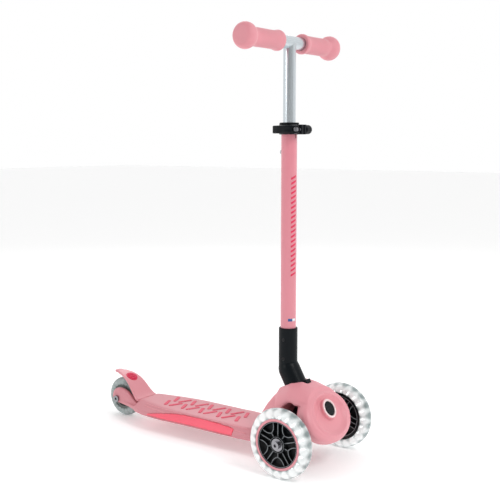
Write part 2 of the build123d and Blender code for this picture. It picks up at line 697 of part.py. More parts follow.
with BuildPart() as neck_screws:
    for z in SCREW_HEIGHTS:
        add(hex_bolt(COLUMN_X, z, -15.1, -12.8, 2.0, 3.2, 1.4, 1.6, depth=1.2))
save(neck_screws, "neck_screws")

with BuildPart() as lower_tube:
    with BuildSketch(Plane.XY.offset(TUBE_FOOT)):
        with Locations((COLUMN_X, 0)):
            Circle(TUBE_R)
            Circle(TUBE_BORE, mode=Mode.SUBTRACT)
    extrude(amount=TUBE_TOP - TUBE_FOOT)
    with Locations((COLUMN_X + TUBE_R, 0, TUBE_TOP)):
        Box(8, 3, 50, mode=Mode.SUBTRACT)
    for z in SCREW_HEIGHTS:
        with Locations(Location((COLUMN_X, -14, z), (90, 0, 0))):
            Cylinder(2.1, 8, mode=Mode.SUBTRACT)
    with Locations(Location((COLUMN_X - 14, 0, GUIDE_Z), (0, 90, 0))):
        Cylinder(2.35, 10, mode=Mode.SUBTRACT)
save(lower_tube, "lower_tube")

with BuildPart() as tube_top_bush:
    with BuildSketch(Plane.XY.offset(BUSH_FOOT)):
        with Locations((COLUMN_X, 0)):
            Circle(TUBE_BORE - FIT)
            Circle(BAR_R + FIT, mode=Mode.SUBTRACT)
    extrude(amount=TUBE_TOP - BUSH_FOOT)
    with BuildSketch(Plane.XY.offset(TUBE_TOP + 0.1)):
        with Locations((COLUMN_X, 0)):
            Circle(TUBE_R)
            Circle(BAR_R + FIT, mode=Mode.SUBTRACT)
    extrude(amount=2)
    with BuildSketch(Plane.XY.offset(TUBE_TOP - 0.1)):
        with Locations((COLUMN_X, 0)):
            Circle(TUBE_BORE - FIT)
            Circle(BAR_R + FIT, mode=Mode.SUBTRACT)
    extrude(amount=0.4)
    with Locations((COLUMN_X + TUBE_R, 0, TUBE_TOP)):
        Box(8, 3, 80, mode=Mode.SUBTRACT)
save(tube_top_bush, "tube_top_bush")

with BuildPart() as guide_pin:
    with BuildSketch(Plane(origin=(COLUMN_X - 9.8, 0, GUIDE_Z), x_dir=(0, 1, 0), z_dir=(-1, 0, 0))):
        Circle(2.3)
    extrude(amount=5)
    with BuildSketch(Plane(origin=(COLUMN_X - 14.3, 0, GUIDE_Z), x_dir=(0, 1, 0), z_dir=(-1, 0, 0))):
        Circle(4.2)
    extrude(amount=1.8)
save(guide_pin, "guide_pin")

with BuildPart() as clamp_collar:
    with BuildSketch(Plane.XY.offset(CLAMP_Z - CLAMP_HALF)):
        with Locations((COLUMN_X, 0)):
            Circle(COLLAR_R)
        with Locations((COLUMN_X + 22.5, 0)):
            Rectangle(17, 16)
        with Locations((COLUMN_X, 0)):
            Circle(TUBE_R + 0.1, mode=Mode.SUBTRACT)
        with Locations((COLUMN_X + 24, 0)):
            Rectangle(24, 3, mode=Mode.SUBTRACT)
    extrude(amount=2 * CLAMP_HALF)
    with Locations(Location((SKEWER_X, 0, CLAMP_Z), (90, 0, 0))):
        Cylinder(2.6, 40, mode=Mode.SUBTRACT)
    fillet(clamp_collar.edges().filter_by(GeomType.CIRCLE).group_by(SortBy.RADIUS)[-1], 1.2)
save(clamp_collar, "clamp_collar")

with BuildPart() as clamp_washer:
    add(ring_y(SKEWER_X, CLAMP_Z, -9.6, -8.1, 6.0, 2.6))
save(clamp_washer, "clamp_washer")

with BuildPart() as clamp_skewer:
    with BuildSketch(plane_across(24)):
        with Locations((SKEWER_X, CLAMP_Z)):
            Circle(2.5)
    extrude(amount=24 - CAM_Y - 3)
    with Locations((SKEWER_X, CAM_Y, CLAMP_Z)):
        Cylinder(5.2, 6)
        Cylinder(2.55, 8, mode=Mode.SUBTRACT)
save(clamp_skewer, "clamp_skewer")

with BuildPart() as cam_pin:
    with Locations((SKEWER_X, CAM_Y, CLAMP_Z)):
        Cylinder(2.5, 15)
save(cam_pin, "cam_pin")

with BuildPart() as clamp_nut:
    add(ring_y(SKEWER_X, CLAMP_Z, 9.0, 26.0, 8.2, 2.55))
    fillet(clamp_nut.edges().filter_by(GeomType.CIRCLE).group_by(SortBy.RADIUS)[-1]
           .sort_by(Axis.Y)[-1], 4)
    with BuildSketch(plane_across(27)):
        with Locations((SKEWER_X, CLAMP_Z)):
            with PolarLocations(9.0, 12):
                Circle(1.4)
    extrude(amount=14, mode=Mode.SUBTRACT)
save(clamp_nut, "clamp_nut")

LEVER_HALF = 7.0
LEVER = [(5.4, 1.5), (5.6, -3), (4.2, -5.2), (-2, -9.0), (-16, -12), (-30, -11.6), (-42, -8.2),
         (-44.5, -5), (-42, -3.6), (-30, -6), (-16, -6), (-7, -2.5), (-5, 2.5)]

with BuildPart() as clamp_lever:
    with BuildSketch(Plane.XY.offset(CLAMP_Z - LEVER_HALF)) as outline:
        with BuildLine():
            Polyline(*[(SKEWER_X + x, CAM_Y + y) for x, y in LEVER], close=True)
        make_face()
        with Locations((SKEWER_X, CAM_Y + 0.6)):
            Circle(6.0)
    extrude(amount=2 * LEVER_HALF)
    with Locations((SKEWER_X, CAM_Y, CLAMP_Z)):
        Cylinder(2.5 + FIT, 20, mode=Mode.SUBTRACT)
        Cylinder(7.6, 6.8, mode=Mode.SUBTRACT)
save(clamp_lever, "clamp_lever")

# --- handlebar ----------------------------------------------------------------------------------
GRIP_INNER = 34.0
GRIP_PROFILE = [
    (GRIP_INNER, 17.2), (GRIP_INNER + 5, 17.6), (GRIP_INNER + 10, 16.6), (70, 15.4), (95, 15.8),
    (110, 16.6), (116, 18.6), (121, 21.2), (126, 22.0), (131, 21.4), (136, 17.5), (139, 11.5),
    (BAR_HALF_SPAN, 5.0), (BAR_HALF_SPAN, 0),
]

with BuildPart() as crossbar:
    with BuildSketch(plane_across(124)):
        with Locations((COLUMN_X, BAR_HEIGHT)):
            Circle(BAR_R)
            Circle(BAR_BORE, mode=Mode.SUBTRACT)
    extrude(amount=248)
save(crossbar, "crossbar")

with BuildPart() as upper_stem:
    with BuildSketch(Plane.XY.offset(STEM_FOOT)):
        with Locations((COLUMN_X, 0)):
            Circle(BAR_R)
            Circle(BAR_BORE, mode=Mode.SUBTRACT)
    extrude(amount=BAR_HEIGHT - STEM_FOOT)
    with Locations(Location((COLUMN_X, 0, BAR_HEIGHT), (90, 0, 0))):
        Cylinder(BAR_R + 0.02, 60, mode=Mode.SUBTRACT)
    # Slot that rides on the guide pin.
    with BuildSketch(Plane(origin=(COLUMN_X, 0, GUIDE_Z + HEIGHT_TRAVEL / 2), x_dir=(0, 0, 1),
                           z_dir=(-1, 0, 0))):
        SlotCenterToCenter(HEIGHT_TRAVEL, 5.4)
    extrude(amount=20, mode=Mode.SUBTRACT)
save(upper_stem, "upper_stem")

with BuildPart() as stem_foot_bush:
    with BuildSketch(Plane.XY.offset(STEM_FOOT - 4)):
        with Locations((COLUMN_X, 0)):
            Circle(TUBE_BORE - FIT)
            Circle(6, mode=Mode.SUBTRACT)
    extrude(amount=3.9)
    with BuildSketch(Plane.XY.offset(STEM_FOOT - 0.1)):
        with Locations((COLUMN_X, 0)):
            Circle(TUBE_BORE - FIT)
            Circle(BAR_R + FIT, mode=Mode.SUBTRACT)
    extrude(amount=18)
save(stem_foot_bush, "stem_foot_bush")

with BuildPart() as grip_left:
    with BuildSketch(Plane(origin=(COLUMN_X, 0, BAR_HEIGHT), x_dir=(0, 1, 0), z_dir=(1, 0, 0))):
        with BuildLine():
            skin = Polyline(*GRIP_PROFILE)
            Line((BAR_HALF_SPAN, 0), (GRIP_INNER, 0))
            Line((GRIP_INNER, 0), skin @ 0)
        make_face()
    revolve(axis=Axis((COLUMN_X, 0, BAR_HEIGHT), (0, 1, 0)))
    with BuildSketch(Plane(origin=(COLUMN_X, 124.2, BAR_HEIGHT), x_dir=(1, 0, 0), z_dir=(0, -1, 0))):
        Circle(BAR_R + FIT)
    extrude(amount=124.2, mode=Mode.SUBTRACT)
save(grip_left, "grip_left")

with BuildPart() as grip_right:
    add(mirror(grip_left.part, about=Plane.XZ))
save(grip_right, "grip_right")

with BuildPart() as brake_spring:
    for y in (-13.2, 8.8):
        foot = Plane(origin=(BRAKE_PIVOT[0], y, BRAKE_PIVOT[1]), z_dir=(0, 1, 0))
        add(coil(2.6, 0.45, 1.1, 4.0, foot))
save(brake_spring, "brake_spring")
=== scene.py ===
# %% [markdown]
# # A child's three-wheeled kick scooter
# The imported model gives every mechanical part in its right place. This lesson dresses it: soft moulded shells are
# melted out of the hard CAD solids, lit tyres and spoked cores are built new, and every part gets its own finish.

# %% Load the frame
import json
import math

import bmesh
import bpy
import numpy as np
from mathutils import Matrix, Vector
from mathutils.bvhtree import BVHTree


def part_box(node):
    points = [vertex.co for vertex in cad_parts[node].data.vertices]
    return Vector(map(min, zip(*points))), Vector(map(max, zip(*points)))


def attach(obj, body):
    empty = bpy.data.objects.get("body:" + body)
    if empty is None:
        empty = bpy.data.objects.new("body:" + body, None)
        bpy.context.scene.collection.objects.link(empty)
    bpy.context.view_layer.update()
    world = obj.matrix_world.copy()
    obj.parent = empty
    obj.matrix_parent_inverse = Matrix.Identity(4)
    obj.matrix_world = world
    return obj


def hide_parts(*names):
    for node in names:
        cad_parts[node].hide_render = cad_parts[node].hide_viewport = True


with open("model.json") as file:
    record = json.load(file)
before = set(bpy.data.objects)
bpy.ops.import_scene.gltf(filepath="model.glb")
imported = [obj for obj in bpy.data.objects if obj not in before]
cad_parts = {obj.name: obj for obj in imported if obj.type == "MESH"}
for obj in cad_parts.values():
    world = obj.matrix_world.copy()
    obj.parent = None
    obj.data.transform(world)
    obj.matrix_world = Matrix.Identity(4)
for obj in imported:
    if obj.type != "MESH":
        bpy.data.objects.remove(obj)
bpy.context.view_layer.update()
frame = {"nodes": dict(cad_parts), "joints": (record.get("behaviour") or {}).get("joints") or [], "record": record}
nodes = frame["nodes"]

# %% [markdown]
# ## Driving places
# A scooter is set out from its axles and its kingpin. Each place is read from the frame, so the looks follow the
# design when a size there changes. The kingpin runs forward and up, and local directions are taken along it.

# %% Places read from the frame
MM = 0.001


def middle(node):
    low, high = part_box(node)
    return (low + high) / 2


AXLE_RIGHT = middle("tyre_right")
AXLE_LEFT = middle("tyre_left")
AXLE_REAR = middle("tyre_rear")
COLUMN = middle("lower_tube")
BAR = middle("crossbar")
KINGPIN = [j for j in frame["joints"] if j["name"] == "steer"][0]
RAKE = Vector(KINGPIN["axis"]).normalized()
SQUARE = Vector((-RAKE.z, 0, RAKE.x))
ACROSS = Vector((0, 1, 0))
NOSE_REACH = 0.052  # from the middle of the carrier to the face of the lock button
NOSE = Vector(KINGPIN["pos_m"]) + NOSE_REACH * RAKE
print("front axle", AXLE_RIGHT, "rear axle", AXLE_REAR, "column", COLUMN)

# %% [markdown]
# ## Studio
# Pastel plastic is shown on a white sweep without hard shadows. The world is white behind the scooter and greyer
# towards the viewer, so that black and bare metal have something to reflect, and three large soft lamps model the
# pink. The camera stands low on the front right, with a longish lens so that the tube stays straight.

# %% Node helpers
NODE_GAP = 180
scene = bpy.context.scene
scene.view_settings.view_transform = "Standard"


def node_of(tree, kind, **values):
    """Adds a node to the right of the others and sets its plain properties."""
    made = tree.nodes.new(kind if kind.startswith(("NodeGroup", "GeometryNode")) else "ShaderNode" + kind)
    made.location = (NODE_GAP * len(tree.nodes), 0)
    for key, value in values.items():
        setattr(made, key, value)
    return made


def placed(name, data):
    """A new object in the scene."""
    made = bpy.data.objects.new(name, data)
    scene.collection.objects.link(made)
    return made


def wire(tree, *links):
    """Joins nodes, each link as a node, its output, another node and its input."""
    for source, out, target, into in links:
        tree.links.new(source.outputs[out], target.inputs[into])


def maths(tree, operation, second=None):
    """A math node, with its second input where that is a constant."""
    made = node_of(tree, "Math", operation=operation)
    if second is not None:
        made.inputs[1].default_value = second
    return made


def feed(node, values):
    """Sets the constants of a node's inputs."""
    for key, value in values.items():
        node.inputs[key].default_value = value


print("helpers: node_of, maths, wire, feed")

# %% [markdown]
# The sweep is one plain floor that glows a little, so that it meets the white world without a horizon.

# %% World and floor
CAMERA_AZIMUTH, CAMERA_PITCH, CAMERA_LENS = math.radians(53.26), math.radians(6.89), 63.9
CAMERA_PLACE = Vector((AXLE_RIGHT.x + 0.82475, -1.29162, 0.56424))
WORLD_BEHIND, WORLD_FRONT, WORLD_TURN = 1.0, 0.34, 0.75
FLOOR_SIZE, FLOOR_TONE, FLOOR_GLOW = 30, 0.96, 0.24


def studio():
    """A white sweep behind the scooter that darkens towards the viewer, and a pale floor."""
    world = bpy.data.worlds.new("studio")
    world.use_nodes = True
    tree = world.node_tree
    way = node_of(tree, "TexCoord")
    facing = node_of(tree, "VectorMath", operation="DOT_PRODUCT")
    facing.inputs[1].default_value = (math.cos(CAMERA_AZIMUTH), -math.sin(CAMERA_AZIMUTH), 0.35)
    falloff = node_of(tree, "MapRange", interpolation_type="SMOOTHSTEP")
    feed(falloff, {"From Min": 0.0, "From Max": WORLD_TURN, "To Min": WORLD_BEHIND, "To Max": WORLD_FRONT})
    wire(tree, (way, "Generated", facing, 0), (facing, "Value", falloff, "Value"))
    tree.links.new(falloff.outputs["Result"], tree.nodes["Background"].inputs["Strength"])
    tree.nodes["Background"].inputs["Color"].default_value = (1, 1, 1, 1)
    scene.world = world
    bpy.ops.mesh.primitive_plane_add(size=FLOOR_SIZE, location=(0, 0, 0))
    floor = bpy.context.object
    floor.name = "floor"
    paint = bpy.data.materials.new("floor_paint")
    paint.use_nodes = True
    shader = paint.node_tree.nodes["Principled BSDF"]
    feed(shader, {"Base Color": (FLOOR_TONE, FLOOR_TONE, FLOOR_TONE, 1), "Roughness": 0.7,
                  "Specular IOR Level": 0.2, "Emission Color": (1, 1, 1, 1), "Emission Strength": FLOOR_GLOW})
    floor.data.materials.append(paint)


studio()
print("world and floor", scene.world.name)

# %% [markdown]
# The key lamp stands high on the right, a weaker one fills from the side, and a third one lights the edges from
# behind. The lens is longish, so that upright tubes stay upright.

# %% Lamps and camera


def lamp(name, place, target, size, power):
    """A round soft lamp that looks at its target."""
    data = bpy.data.lights.new(name, "AREA")
    data.shape, data.size, data.energy = "DISK", size, power
    made = placed(name, data)
    made.location = place
    made.rotation_euler = (Vector(target) - Vector(place)).to_track_quat("-Z", "Y").to_euler()


def camera():
    """Sets the camera on the front right, looking back and slightly down."""
    data = bpy.data.cameras.new("camera")
    data.lens, data.sensor_width = CAMERA_LENS, 36.0
    made = placed("camera", data)
    made.location = CAMERA_PLACE
    look = Vector((
        -math.cos(CAMERA_AZIMUTH) * math.cos(CAMERA_PITCH),
        math.sin(CAMERA_AZIMUTH) * math.cos(CAMERA_PITCH),
        -math.sin(CAMERA_PITCH),
    ))
    made.rotation_euler = look.to_track_quat("-Z", "Y").to_euler()
    scene.camera = made


lamp("key", (1.9, -0.3, 1.9), (0.0, 0.0, 0.3), 1.0, 22)
lamp("side", (-0.9, -2.2, 1.2), (0.0, 0.0, 0.3), 0.9, 10)
lamp("rim", (-1.6, 1.9, 1.7), (0.0, 0.0, 0.4), 1.2, 8)
camera()
print("lamps", len(bpy.data.lights), "camera at", tuple(round(v, 3) for v in CAMERA_PLACE))

# %% [markdown]
# ## Shared surface effects
# Moulded plastic is never one flat colour: it has a fine spark-eroded grain, slow changes of tone and a little dust.
# Each effect is a node group, built once, that puts out a value, a mask or a normal. The shader itself stays in each
# material, because an exporter can bake a group's values but can't read a shader hidden inside it.

# %% The grain group


def new_group(name, inputs, outputs):
    """An empty shader group with its sockets, and its two end nodes."""
    group = bpy.data.node_groups.new(name, "ShaderNodeTree")
    for label, kind, value in inputs:
        socket = group.interface.new_socket(name=label, in_out="INPUT", socket_type=kind)
        socket.default_value = value
    for label, kind in outputs:
        group.interface.new_socket(name=label, in_out="OUTPUT", socket_type=kind)
    return group, node_of(group, "NodeGroupInput"), node_of(group, "NodeGroupOutput")


def grain_group():
    """Fine moulded or blasted grain: a height for a Bump node and a matching change of roughness."""
    group, given, out = new_group(
        "moulded_grain",
        [("Scale", "NodeSocketFloat", 900.0), ("Roughness", "NodeSocketFloat", 0.4),
         ("Spread", "NodeSocketFloat", 0.08)],
        [("Height", "NodeSocketFloat"), ("Roughness", "NodeSocketFloat")],
    )
    place = node_of(group, "TexCoord")
    noise = node_of(group, "TexNoise")
    noise.inputs["Detail"].default_value = 2.0
    slow = node_of(group, "TexNoise")
    slow.inputs["Scale"].default_value = 18.0
    scaled = maths(group, "MULTIPLY_ADD")
    wire(group, (place, "Object", noise, "Vector"), (place, "Object", slow, "Vector"),
                (given, "Scale", noise, "Scale"), (slow, "Fac", scaled, 0), (given, "Spread", scaled, 1),
                (given, "Roughness", scaled, 2), (noise, "Fac", out, "Height"), (scaled, 0, out, "Roughness"))
    return group


GRAIN = grain_group()
print("group", GRAIN.name)

# %% [markdown]
# Moulded colour drifts slowly from place to place, because the pigment is never mixed evenly. Floor dust clings to
# the lowest ten centimetres, so a height mask and a fine noise lay a little brown over the pink there.

# %% The tone and dust group
DUST_TOP, DUST_TONE = 0.09, (0.42, 0.37, 0.33, 1)


def tone_group():
    """Slow colour drift over a moulding, and dust that gathers low on the scooter."""
    group, given, out = new_group(
        "tone_and_dust",
        [("Color", "NodeSocketColor", (0.8, 0.3, 0.35, 1)), ("Drift", "NodeSocketFloat", 0.06),
         ("Dust", "NodeSocketFloat", 0.1)],
        [("Color", "NodeSocketColor")],
    )
    place = node_of(group, "TexCoord")
    slow = node_of(group, "TexNoise")
    slow.inputs["Scale"].default_value = 9.0
    speck = node_of(group, "TexNoise")
    feed(speck, {"Scale": 60.0, "Detail": 6.0})
    height = node_of(group, "SeparateXYZ")
    low = node_of(group, "MapRange")
    feed(low, {"From Min": DUST_TOP, "From Max": 0.0})
    dusty = maths(group, "MULTIPLY")
    amount = maths(group, "MULTIPLY")
    shade = node_of(group, "HueSaturation")
    value = maths(group, "MULTIPLY_ADD")
    middle_tone = maths(group, "SUBTRACT", 0.5)
    value.inputs[2].default_value = 1.0
    mix = node_of(group, "Mix", data_type="RGBA")
    mix.inputs["B"].default_value = DUST_TONE
    for end in (slow, speck):
        wire(group, (place, "Object", end, "Vector"))
    wire(group, (place, "Object", height, "Vector"), (height, "Z", low, "Value"), (low, "Result", dusty, 0),
                (speck, "Fac", dusty, 1), (dusty, 0, amount, 0), (given, "Dust", amount, 1),
                (slow, "Fac", middle_tone, 0), (middle_tone, 0, value, 0), (given, "Drift", value, 1),
                (given, "Color", shade, "Color"), (value, 0, shade, "Value"), (shade, "Color", mix, "A"),
                (amount, 0, mix, "Factor"), (mix, "Result", out, "Color"))
    return group


TONE = tone_group()
print("group", TONE.name)

# %% [markdown]
# ## Finishes
# One short function makes each family of finish. Pink parts share a pigment and differ in grain and gloss: the
# plastic is satin, the tube is glossy powder coat, and the grips are soft rubber with a little sheen.

# %% The base finish


def finish(name, color, rough, grain_scale=900.0, bump=0.05, metal=0.0, coat=0.0, coat_rough=0.2,
           sheen=0.0, subsurface=0.0, drift=0.06, dust=0.1, spread=0.08, grain_size=0.0002,
           specular=0.5):
    """A painted, moulded or metal finish with grain, slow tone and dust."""
    material = bpy.data.materials.new(name)
    material.use_nodes = True
    tree = material.node_tree
    shader = tree.nodes["Principled BSDF"]
    tone = node_of(tree, "Group", node_tree=TONE)
    feed(tone, {"Color": (*color, 1), "Drift": drift, "Dust": dust})
    grain = node_of(tree, "Group", node_tree=GRAIN)
    feed(grain, {"Scale": grain_scale, "Roughness": rough - spread / 2, "Spread": spread})
    dent = node_of(tree, "Bump")
    feed(dent, {"Strength": bump, "Distance": grain_size})
    wire(tree, (tone, "Color", shader, "Base Color"), (grain, "Roughness", shader, "Roughness"),
               (grain, "Height", dent, "Height"), (dent, "Normal", shader, "Normal"))
    feed(shader, {"Metallic": metal, "Coat Weight": coat, "Coat Roughness": coat_rough, "Sheen Weight": sheen,
                  "Specular IOR Level": specular})
    if subsurface:
        feed(shader, {"Subsurface Weight": subsurface, "Subsurface Radius": (0.004, 0.002, 0.002),
                      "Subsurface Scale": 1.0})
    return material


print("finish ready, with groups", GRAIN.name, TONE.name)

# %% [markdown]
# The palette. The pinks of the housing, tube and grips are one colour seen in three glosses, the strips are coral
# and the marks a hot pink. The blacks are nearly without a sheen, and the steels show only at small fasteners.

# %% The palette
PINK = (0.780, 0.300, 0.345)
# Painted shade: the deck gets a darker copy of the pink, because its top faces up and catches more light.
DECK_PAINTED_SHADE = 0.86
pink_plastic = finish("pink_plastic", PINK, 0.42, bump=0.25, coat=0.12, coat_rough=0.35)
pink_paint = finish("pink_paint", (0.71, 0.235, 0.285), 0.30, grain_scale=320, bump=0.05, coat=0.6, coat_rough=0.12,
                    dust=0.0)
pink_rubber = finish("pink_rubber", (0.70, 0.27, 0.31), 0.55, grain_scale=1400, bump=0.4, sheen=0.15,
                     subsurface=0.15, dust=0.0)
coral_plastic = finish("coral_plastic", (1.0, 0.115, 0.18), 0.40, bump=0.3, coat=0.15, coat_rough=0.3)
# The deck's pink, darkened by that factor: painted shade on its up-facing top.
deck_painted_shade_pink = finish("deck_painted_shade_pink", tuple(c * DECK_PAINTED_SHADE for c in PINK), 0.5, bump=0.25)
hot_pink = finish("hot_pink", (0.72, 0.018, 0.085), 0.5, bump=0.3)
black_plastic = finish("black_plastic", (0.005, 0.007, 0.009), 0.36, bump=0.3, grain_scale=1100, specular=0.12)
black_steel = finish("black_steel", (0.02, 0.02, 0.022), 0.4, metal=0.6, bump=0.1)
grey_plastic = finish("grey_plastic", (0.10, 0.115, 0.11), 0.4, bump=0.2)
# Pale grey for the spoke crests and the rings at hub and rim: a painted highlight for the light their edges catch.
painted_edge_highlight = finish("painted_edge_highlight", (0.22, 0.235, 0.25), 0.42, bump=0.1, metal=0.35)
# Pale pink for the ring around the lock button: a painted highlight for the light on the seat's glossy edge.
painted_highlight_pink = finish("painted_highlight_pink", (0.90, 0.68, 0.68), 0.3, bump=0.1, coat=0.8, coat_rough=0.1)
steel = finish("steel", (0.30, 0.30, 0.32), 0.22, bump=0.08, metal=1.0, grain_scale=500, dust=0.05)
rubber = finish("black_rubber", (0.02, 0.02, 0.02), 0.75, bump=0.5)
acetal = finish("acetal", (0.68, 0.66, 0.60), 0.4, bump=0.1)
label_blue = finish("label_blue", (0.03, 0.10, 0.30), 0.4, dust=0.0)
label_white = finish("label_white", (0.82, 0.84, 0.86), 0.4, dust=0.0)
print("finishes", len(bpy.data.materials))

# %% [markdown]
# Anodised tube is drawn through a die and brushed along its length, so its grain is stretched along Z. A Mapping
# node squeezes the pattern on one axis, and the change goes to roughness; the small bump keeps the plain grain.

# %% Drawn aluminium
DRAWN_ALONG, DRAWN_ACROSS, ANODISED = 20, 2200, (0.60, 0.65, 0.68)


def drawn_metal(name, color, along):
    """Anodised aluminium with its grain drawn out along one axis."""
    material = finish(name, color, 0.28, metal=1.0, bump=0.04, dust=0.0)
    tree = material.node_tree
    shader = tree.nodes["Principled BSDF"]
    place = node_of(tree, "TexCoord")
    stretch = node_of(tree, "Mapping")
    stretch.inputs["Scale"].default_value = [DRAWN_ALONG if axis == along else DRAWN_ACROSS for axis in "XYZ"]
    noise = node_of(tree, "TexNoise")
    feed(noise, {"Scale": 1.0, "Detail": 3.0})
    ramp = node_of(tree, "MapRange")
    feed(ramp, {"To Min": 0.2, "To Max": 0.36})
    wire(tree, (place, "Object", stretch, "Vector"), (stretch, "Vector", noise, "Vector"),
               (noise, "Fac", ramp, "Value"), (ramp, "Result", shader, "Roughness"))
    return material


stem_metal = drawn_metal("drawn_stem", ANODISED, "Z")
bar_metal = drawn_metal("drawn_bar", ANODISED, "Y")
print("drawn along Z and Y:", stem_metal.name, bar_metal.name)

# %% [markdown]
# The clear tyres are lit from inside: small lamps in the core throw white patches through the cast urethane, with
# greyer glass between them. The U of the tyre's own UV map runs around it and counts the lamps, and V runs outwards
# from the rim to the tread. A wave in U, a falloff in V and a cloud make one mask, for Base Color and Emission.

# %% Lit and unlit urethane
LAMPS = 20
BAND_V, BAND_FALL, CLOUD_SCALE, CLOUD_SHARE = 0.5, -11.0, 70.0, 2.4
PATCH_DARK, PATCH_LIT, URETHANE_IOR, LAMP_GLOW = -2.3, 1.1, 1.42, 2.5


def urethane(name, tint, bright, glow, lit, clear):
    """Clear cast urethane with soft white patches, which are fainter when lit is small."""
    material = bpy.data.materials.new(name)
    material.use_nodes = True
    tree = material.node_tree
    shader = tree.nodes["Principled BSDF"]
    place = node_of(tree, "UVMap")
    split = node_of(tree, "SeparateXYZ")
    turn = maths(tree, "MULTIPLY", 2 * math.pi * LAMPS)
    wave = maths(tree, "COSINE")
    offset = maths(tree, "SUBTRACT", BAND_V)
    size = maths(tree, "ABSOLUTE")
    away = maths(tree, "POWER", 2.0)
    banded = maths(tree, "MULTIPLY_ADD", BAND_FALL)
    where = node_of(tree, "TexCoord")
    cloud = node_of(tree, "TexNoise")
    cloud.inputs["Scale"].default_value = CLOUD_SCALE
    cloudy = maths(tree, "MULTIPLY_ADD", CLOUD_SHARE)
    patch = node_of(tree, "MapRange", interpolation_type="SMOOTHSTEP")
    feed(patch, {"From Min": PATCH_DARK, "From Max": PATCH_LIT, "To Max": lit})
    color = node_of(tree, "Mix", data_type="RGBA")
    feed(color, {"A": (*tint, 1), "B": (*bright, 1)})
    wire(tree, (place, "UV", split, "Vector"), (split, "X", turn, 0), (turn, 0, wave, 0), (split, "Y", offset, 0),
               (offset, 0, size, 0), (size, 0, away, 0), (away, 0, banded, 0), (wave, 0, banded, 2),
               (where, "Object", cloud, "Vector"), (cloud, "Fac", cloudy, 0), (banded, 0, cloudy, 2),
               (cloudy, 0, patch, "Value"), (patch, "Result", color, "Factor"),
               (color, "Result", shader, "Base Color"))
    if glow:
        light = node_of(tree, "Mix", data_type="RGBA")
        feed(light, {"A": (0, 0, 0, 1), "B": (glow, glow, glow, 1)})
        wire(tree, (patch, "Result", light, "Factor"), (light, "Result", shader, "Emission Color"))
        shader.inputs["Emission Strength"].default_value = 1.0
    feed(shader, {"Roughness": 0.1, "Transmission Weight": clear, "IOR": URETHANE_IOR})
    return material


lit_tyre = urethane("lit_tyre", (0.32, 0.38, 0.38), (0.86, 0.89, 0.89), 0.2, 1.0, 0.35)
smoke_tyre = urethane("smoke_tyre", (0.22, 0.29, 0.28), (0.62, 0.68, 0.68), 0.0, 0.6, 0.45)
lamp_glass = bpy.data.materials.new("lamp_glass")
lamp_glass.use_nodes = True
bulb = lamp_glass.node_tree.nodes["Principled BSDF"]
feed(bulb, {"Emission Color": (1, 1, 1, 1), "Emission Strength": LAMP_GLOW})
print("urethanes", lit_tyre.name, smoke_tyre.name, "lamps", LAMPS)

# %% [markdown]
# ## Small mesh helpers
# A lathe turns a profile about a wheel's or a bar's axis, a bead follows a path with a round section, and a wall
# follows a path with a flat one. All write plain closed meshes with their faces outwards.

# %% New pieces and the lathe


def edited(mesh, change):
    """Passes a mesh through bmesh for one change."""
    work = bmesh.new()
    work.from_mesh(mesh)
    change(work)
    work.to_mesh(mesh)
    work.free()


def new_piece(name, verts, faces, material, smooth=True):
    """A closed piece from plain lists, with its faces turned outwards."""
    mesh = bpy.data.meshes.new(name)
    mesh.from_pydata([tuple(v) for v in verts], [], [tuple(f) for f in faces])
    mesh.validate()
    mesh.materials.append(material)
    edited(mesh, lambda work: bmesh.ops.recalc_face_normals(work, faces=work.faces))
    if smooth:
        mesh.shade_smooth()
    return placed(name, mesh)


def lathe(name, profile, centre, material, steps=120, axis=None):
    """Turns a closed profile of (radius, y) about a line through centre, along Y or an axis, with a UV map."""
    count = len(profile)
    inner, outer = min(r for r, _ in profile), max(r for r, _ in profile)
    verts, faces, uvs = [], [], []
    for i in range(steps):
        angle = 2 * math.pi * i / steps
        for r, y in profile:
            local = Vector((r * math.cos(angle), y, r * math.sin(angle)))
            verts.append(centre + (ACROSS.rotation_difference(axis) @ local if axis else local))
    for i in range(steps):
        for k in range(count):
            a, b = i * count + k, i * count + (k + 1) % count
            c, d = ((i + 1) % steps) * count + (k + 1) % count, ((i + 1) % steps) * count + k
            faces.append((a, b, c, d))
            v, w = ((profile[n % count][0] - inner) / (outer - inner) for n in (k, k + 1))
            uvs.append(((i / steps, v), (i / steps, w), ((i + 1) / steps, w), ((i + 1) / steps, v)))
    mesh = bpy.data.meshes.new(name)
    mesh.from_pydata(verts, [], faces)
    layer = mesh.uv_layers.new(name="UVMap")
    for face, corner_uvs in zip(mesh.polygons, uvs):
        for loop, uv in zip(face.loop_indices, corner_uvs):
            layer.data[loop].uv = uv
    mesh.materials.append(material)

    def close_poles(work):
        bmesh.ops.remove_doubles(work, verts=work.verts, dist=1e-7)
        loose = [edge for edge in work.edges if not edge.link_faces]
        bmesh.ops.delete(work, geom=loose, context="EDGES")
        bmesh.ops.recalc_face_normals(work, faces=work.faces)

    edited(mesh, close_poles)
    mesh.shade_smooth()
    return placed(name, mesh)


print("helpers: new_piece, lathe")

# %% [markdown]
# A moulding's profile has rounded corners, a crest or a crease is a round bead, and a spoke is an upright wall. The
# first is a short curve at each corner, and the other two are sections carried along a path and capped at its ends.

# %% Rounded profiles, beads and walls


def rounded(points, radius, steps=4):
    """Rounds the corners of a closed profile."""
    result = []
    for i, here in enumerate(points):
        here, before, after = Vector(here), Vector(points[i - 1]), Vector(points[(i + 1) % len(points)])
        reach = min(radius, (before - here).length * 0.45, (after - here).length * 0.45)
        start = here + (before - here).normalized() * reach
        end = here + (after - here).normalized() * reach
        for k in range(steps + 1):
            t = k / steps
            result.append((1 - t) ** 2 * start + 2 * t * (1 - t) * here + t ** 2 * end)
    return [tuple(p) for p in result]


